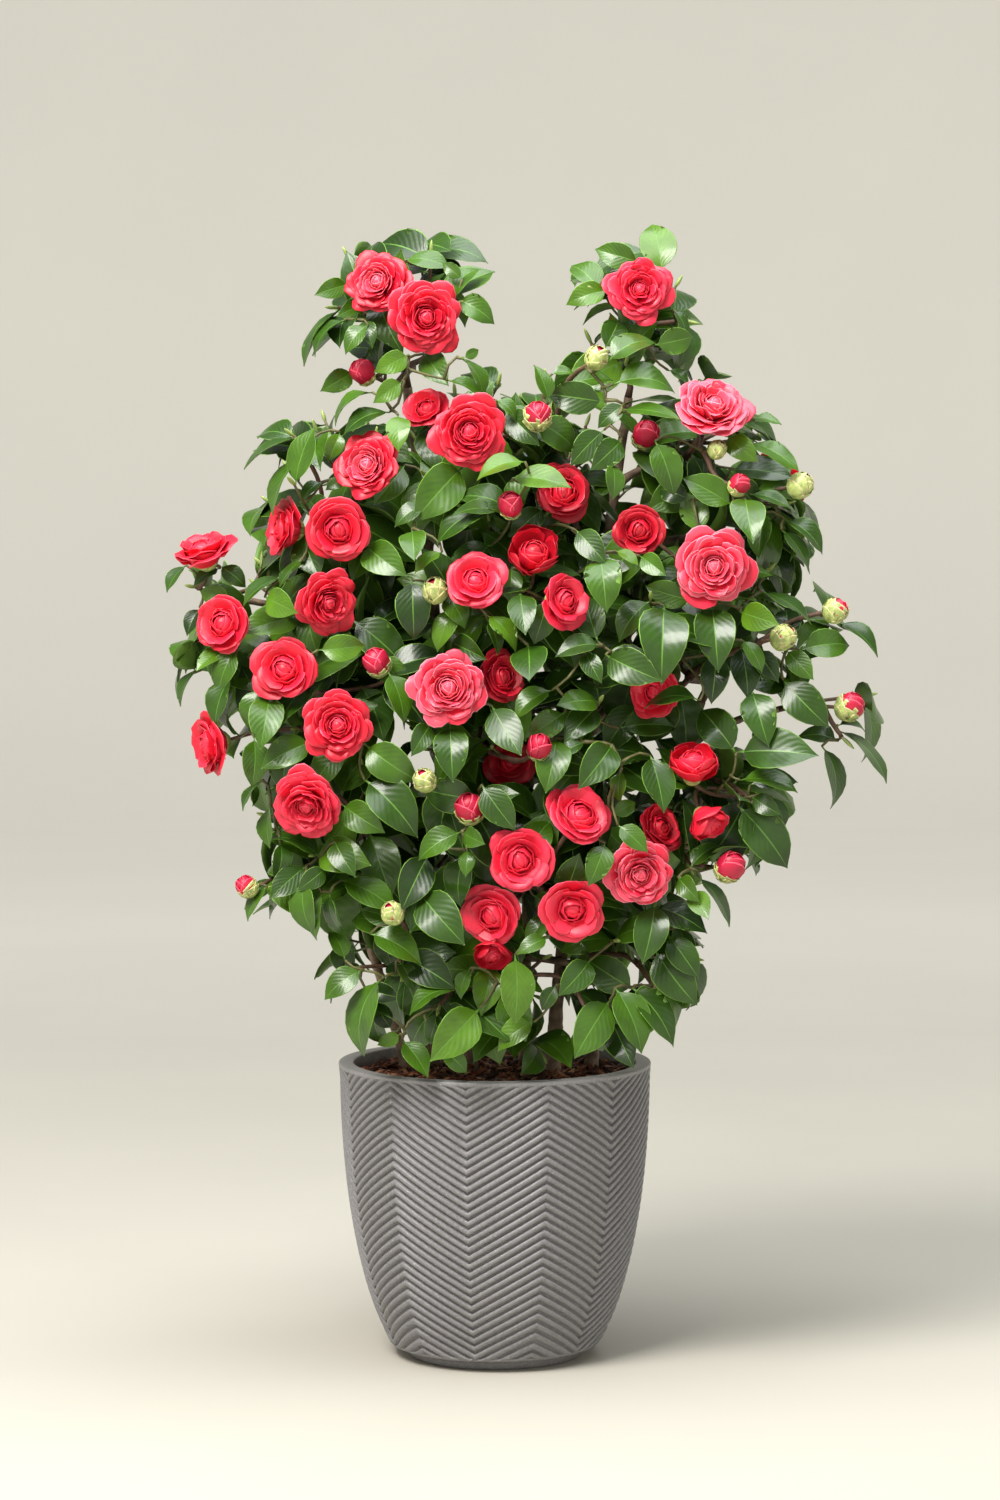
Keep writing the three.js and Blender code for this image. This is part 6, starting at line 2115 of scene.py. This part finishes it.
def wrapped(shapes, frame, centre, radius, length, rows, slots, random):
    """Rows of petals or scales that hug a ball."""
    for number, (count, half_turn, low, high, distance) in enumerate(rows):
        for index in range(count):
            stray = random.between(-HEART_TURN_SPREAD, HEART_TURN_SPREAD)
            angle = (index + number * EGG_ROW_TURN) / count * FULL_TURN + stray
            grid = egg_grid(half_turn, low, high * random.between(*EGG_LENGTHS),
                            distance + index * EGG_STEP_OUT, length)
            thin_sheet(shapes, grid, turned_frame(frame, angle), centre, radius,
                       petal_slots(grid, *slots), EGG_THICKNESS)


def heart(shapes, flower, axis, slots, random):
    """A closed ball of petals in the middle of a bloom, or a whole bud."""
    radius, height, length, rows = HEARTS[flower.kind]
    radius *= flower.radius * (1 if flower.kind == "bud" else random.between(*HEART_SIZES))
    centre = flower.centre + axis * height * flower.radius
    angle = np.linspace(0, math.pi, HEART_CORE_RINGS)
    core = radius * min(row[4] for row in rows) * HEART_CORE
    line = centre - axis * np.cos(angle)[:, None] * core * length
    tube(shapes, line, core * np.sin(angle) + HEART_CORE_TIP, HEART_CORE_SIDES, slots[0])
    wrapped(shapes, flower_frame(axis, random), centre, radius, length, rows, slots, random)


def bloom(shapes, flower, random):
    """Rings of petals round a heart, which leans a little its own way."""
    outer = flower_frame(flower.direction, random)
    axis = unit(flower.direction + outer[0] * random.between(LEAST_HEART_LEAN, HEART_LEAN))
    inner = flower_frame(axis, random)
    base = -FLOWER_BASE[flower.kind] * BLOOM_DEPTH_SHARE
    rings = RINGS[flower.kind]
    offset = 0.0
    for ring, (count, reach, height, half, upright, curl) in enumerate(rings):
        offset += math.pi / count + random.between(*RING_TURNS)
        late = ring >= len(rings) / 2
        body, band, rim = slots_of(flower.tint, late)
        for index in range(count):
            stray = random.between(-PETAL_TURN_SPREAD, PETAL_TURN_SPREAD)
            angle = offset + index / count * FULL_TURN + stray
            size = random.between(*PETAL_SIZES)
            own_height = height + random.between(-PETAL_HEIGHT_SPREAD, PETAL_HEIGHT_SPREAD)
            own_half = half * random.between(*PETAL_WIDTHS)
            own_upright = min(max(upright + random.between(*PETAL_LEANS), 0), 1)
            own_curl = curl + random.between(-PETAL_CURL_SPREAD, PETAL_CURL_SPREAD)
            grid = petal_grid(reach * size, own_height, own_half, own_upright, own_curl, base, random)
            own_band = band if random() < BANDED_SHARE else body
            # Most petals get the paler rim, part edge colour and part painted highlight
            own_rim = rim if random() < RIMMED_SHARE else band
            frame = turned_frame(inner if late else outer, angle)
            thin_sheet(shapes, grid, frame, flower.centre, flower.radius,
                       petal_slots(grid, body, own_band, own_rim), PETAL_THICKNESS)
    body, band, rim = slots_of(flower.tint, True)
    heart(shapes, flower, axis, (body, band, rim if flower.kind == "full" else band), random)


def slots_of(tint, late):
    return [PETAL_SLOTS.index(name) for name in TINTS[tint][int(late)]]


def calyx(shapes, flower, random):
    """Scales that cover all of a bud but its red share, or hold the foot of a bloom."""
    if flower.kind == "bud":
        top = max(math.acos(2 * flower.red_share - 1) * SCALE_OVERLAP, LEAST_SCALE_REACH)
        rows = [(count, turn, 0.0, top * share, distance) for count, turn, share, distance in BUD_SCALES]
        centre, radius, length, axis = flower.centre, flower.radius, HEARTS["bud"][2], bud_axis(flower)
    else:
        rows = CALYX_SCALES
        below = FLOWER_BASE[flower.kind] * flower.radius * CALYX_PLACE
        centre = flower.centre - flower.direction * below
        radius, length, axis = flower.radius * CALYX_SHARE, CALYX_LENGTH, flower.direction
    wrapped(shapes, flower_frame(axis, random), centre, radius, length, rows, (0, 0, 1), random)


def bud_axis(flower):
    return unit(flower.direction + UP * BUD_TILT)


def bloom_pieces(borne):
    materials = petal_materials()
    random = Random(BLOOM_SEED)
    blooms = Series("blooms", materials, "petals")
    buds = Shapes()
    scales = Shapes()
    for flower in borne:
        calyx(scales, flower, random)
        if flower.kind == "bud":
            heart(buds, flower, bud_axis(flower), slots_of("bud", True), random)
        else:
            bloom(blooms.shapes_with_room(BLOOM_TRIANGLES), flower, random)
    blooms.finish()
    buds.piece("buds", materials, "petals")
    scales.piece("bud_scales", finished("scale_green", "scale_edge"), "foliage")


def grow():
    """All wood and leaves: limbs, growth of each mass, leaves and the flowers that are borne."""
    flowers = seen_flowers()
    limbs, carriers = grow_limbs(flowers)
    segments = joined([segments_of(limb.points, limb.radii) for limb in limbs])
    growths = []
    entries = []
    for mass in range(len(MASSES)):
        seed = SHOOT_SEED + mass * SHOOT_SEED_STEP
        shoots, entry = grow_shoots(mass, carriers[mass], segments, flowers, seed)
        growths.append((mass, carriers[mass], shoots))
        entries.append(entry)
    for mass, _, shoots in growths:
        add_back_blooms(mass, shoots, segments, flowers)
    for (mass, _, shoots), entry in zip(growths, entries):
        add_fine_shoots(mass, shoots, entry, segments, flowers, FINE_SEED + mass * FINE_SEED_STEP)
    foliage = Foliage(segments, flowers)
    for across, down, end_across, end_down in BARE_WOOD:
        root = seen_point(across, down, 0)[[0, 2]]
        tip = seen_point(end_across, end_down, 0)[[0, 2]]
        foliage.keep_in_view(root, tip, BARE_WOOD_ROOM, BARE_WOOD_DEPTH)
    grow_seen_leaves([shoots for _, _, shoots in growths], foliage)
    for mass, _, shoots in growths:
        thicken(shoots)
        grow_leaves(shoots, foliage, LEAF_SEED + mass * LEAF_SEED_STEP)
    growths = [(mass, limb, cut_back(shoots)) for mass, limb, shoots in growths]
    borne = [shoot.flower for _, _, shoots in growths for shoot in shoots if shoot.flower]
    return limbs, growths, foliage, borne


# Studio
def area_light(name, place, size, power, colour):
    light = bpy.data.lights.new(name, "AREA")
    light.shape = "RECTANGLE"
    light.size, light.size_y = size
    light.energy = power
    light.color = colour
    lamp = bpy.data.objects.new(name, light)
    bpy.context.scene.collection.objects.link(lamp)
    lamp.location = place
    lamp.rotation_euler = (Vector(LIT_PLACE) - Vector(place)).to_track_quat("-Z", "Y").to_euler()


def pale_floor():
    """Paper that glows the more the further out it is, where the lamps don't reach."""
    made = finished("floor_pale")[0]
    tree = made.node_tree
    shader = tree.nodes["Principled BSDF"]
    place = added(tree, "TexCoord").outputs["Object"]
    flat = maths(tree, "MULTIPLY", place, (1, 1, 0), kind="VectorMath").outputs["Vector"]
    distance = maths(tree, "LENGTH", flat, kind="VectorMath").outputs["Value"]
    glow = added(tree, "MapRange", Value=distance)
    glow.interpolation_type = "SMOOTHSTEP"
    glow.inputs["From Min"].default_value = GLOW_FROM
    glow.inputs["From Max"].default_value = GLOW_TO
    glow.inputs["To Max"].default_value = GLOW
    tree.links.new(glow.outputs["Result"], shader.inputs["Emission Strength"])
    shader.inputs["Emission Color"].default_value = (*GLOW_COLOUR, 1)
    return made


def backdrop():
    """A pale round floor that curves up into a wall on all sides, further out than any camera."""
    profile = [(radius, 0.0) for radius in (AXIS_RADIUS, *FLOOR_RINGS, FLOOR_RADIUS)]
    profile += arc((FLOOR_RADIUS, FLOOR_CURVE), FLOOR_CURVE, -80, 0, 8)
    profile += [(FLOOR_RADIUS + FLOOR_CURVE, BACKDROP_HEIGHT)]
    radius, z = np.array(profile).T
    angles = round_angles(BACKDROP_COLUMNS)
    vertices = np.stack([radius[:, None] * np.cos(angles), radius[:, None] * np.sin(angles),
                         np.repeat(z[:, None], BACKDROP_COLUMNS, axis=1)], -1).reshape(-1, 3)
    faces = grid_quads(len(profile), BACKDROP_COLUMNS, closed=True)
    mesh = bpy.data.meshes.new("floor")
    mesh.from_pydata(vertices.tolist(), [], faces.tolist())
    for polygon in mesh.polygons:
        polygon.use_smooth = True
    mesh.materials.append(pale_floor())
    floor = bpy.data.objects.new("floor", mesh)
    bpy.context.scene.collection.objects.link(floor)


def studio():
    scene = bpy.context.scene
    scene.view_settings.view_transform = "Standard"
    backdrop()
    world = bpy.data.worlds.new("studio")
    world.use_nodes = True
    world.node_tree.nodes["Background"].inputs["Color"].default_value = (*WORLD_COLOUR, 1)
    world.node_tree.nodes["Background"].inputs["Strength"].default_value = WORLD_STRENGTH
    scene.world = world
    for name, lamp in LAMPS.items():
        area_light(name, *lamp)
    camera_data = bpy.data.cameras.new("camera")
    camera_data.sensor_width = SENSOR
    camera_data.sensor_fit = "AUTO"
    camera_data.lens = FOCAL_PIXELS / PHOTO_HEIGHT * SENSOR
    camera = bpy.data.objects.new("camera", camera_data)
    camera.location = [value * METRES for value in CAMERA_PLACE]
    camera.rotation_euler = (math.radians(90 - CAMERA_DOWN), 0, 0)
    scene.collection.objects.link(camera)
    scene.camera = camera


def main():
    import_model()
    limbs, growths, foliage, borne = grow()
    planter()
    mulch()
    bark(limbs)
    twig_wood(growths)
    leaf_pieces(foliage)
    bloom_pieces(borne)
    studio()


main()
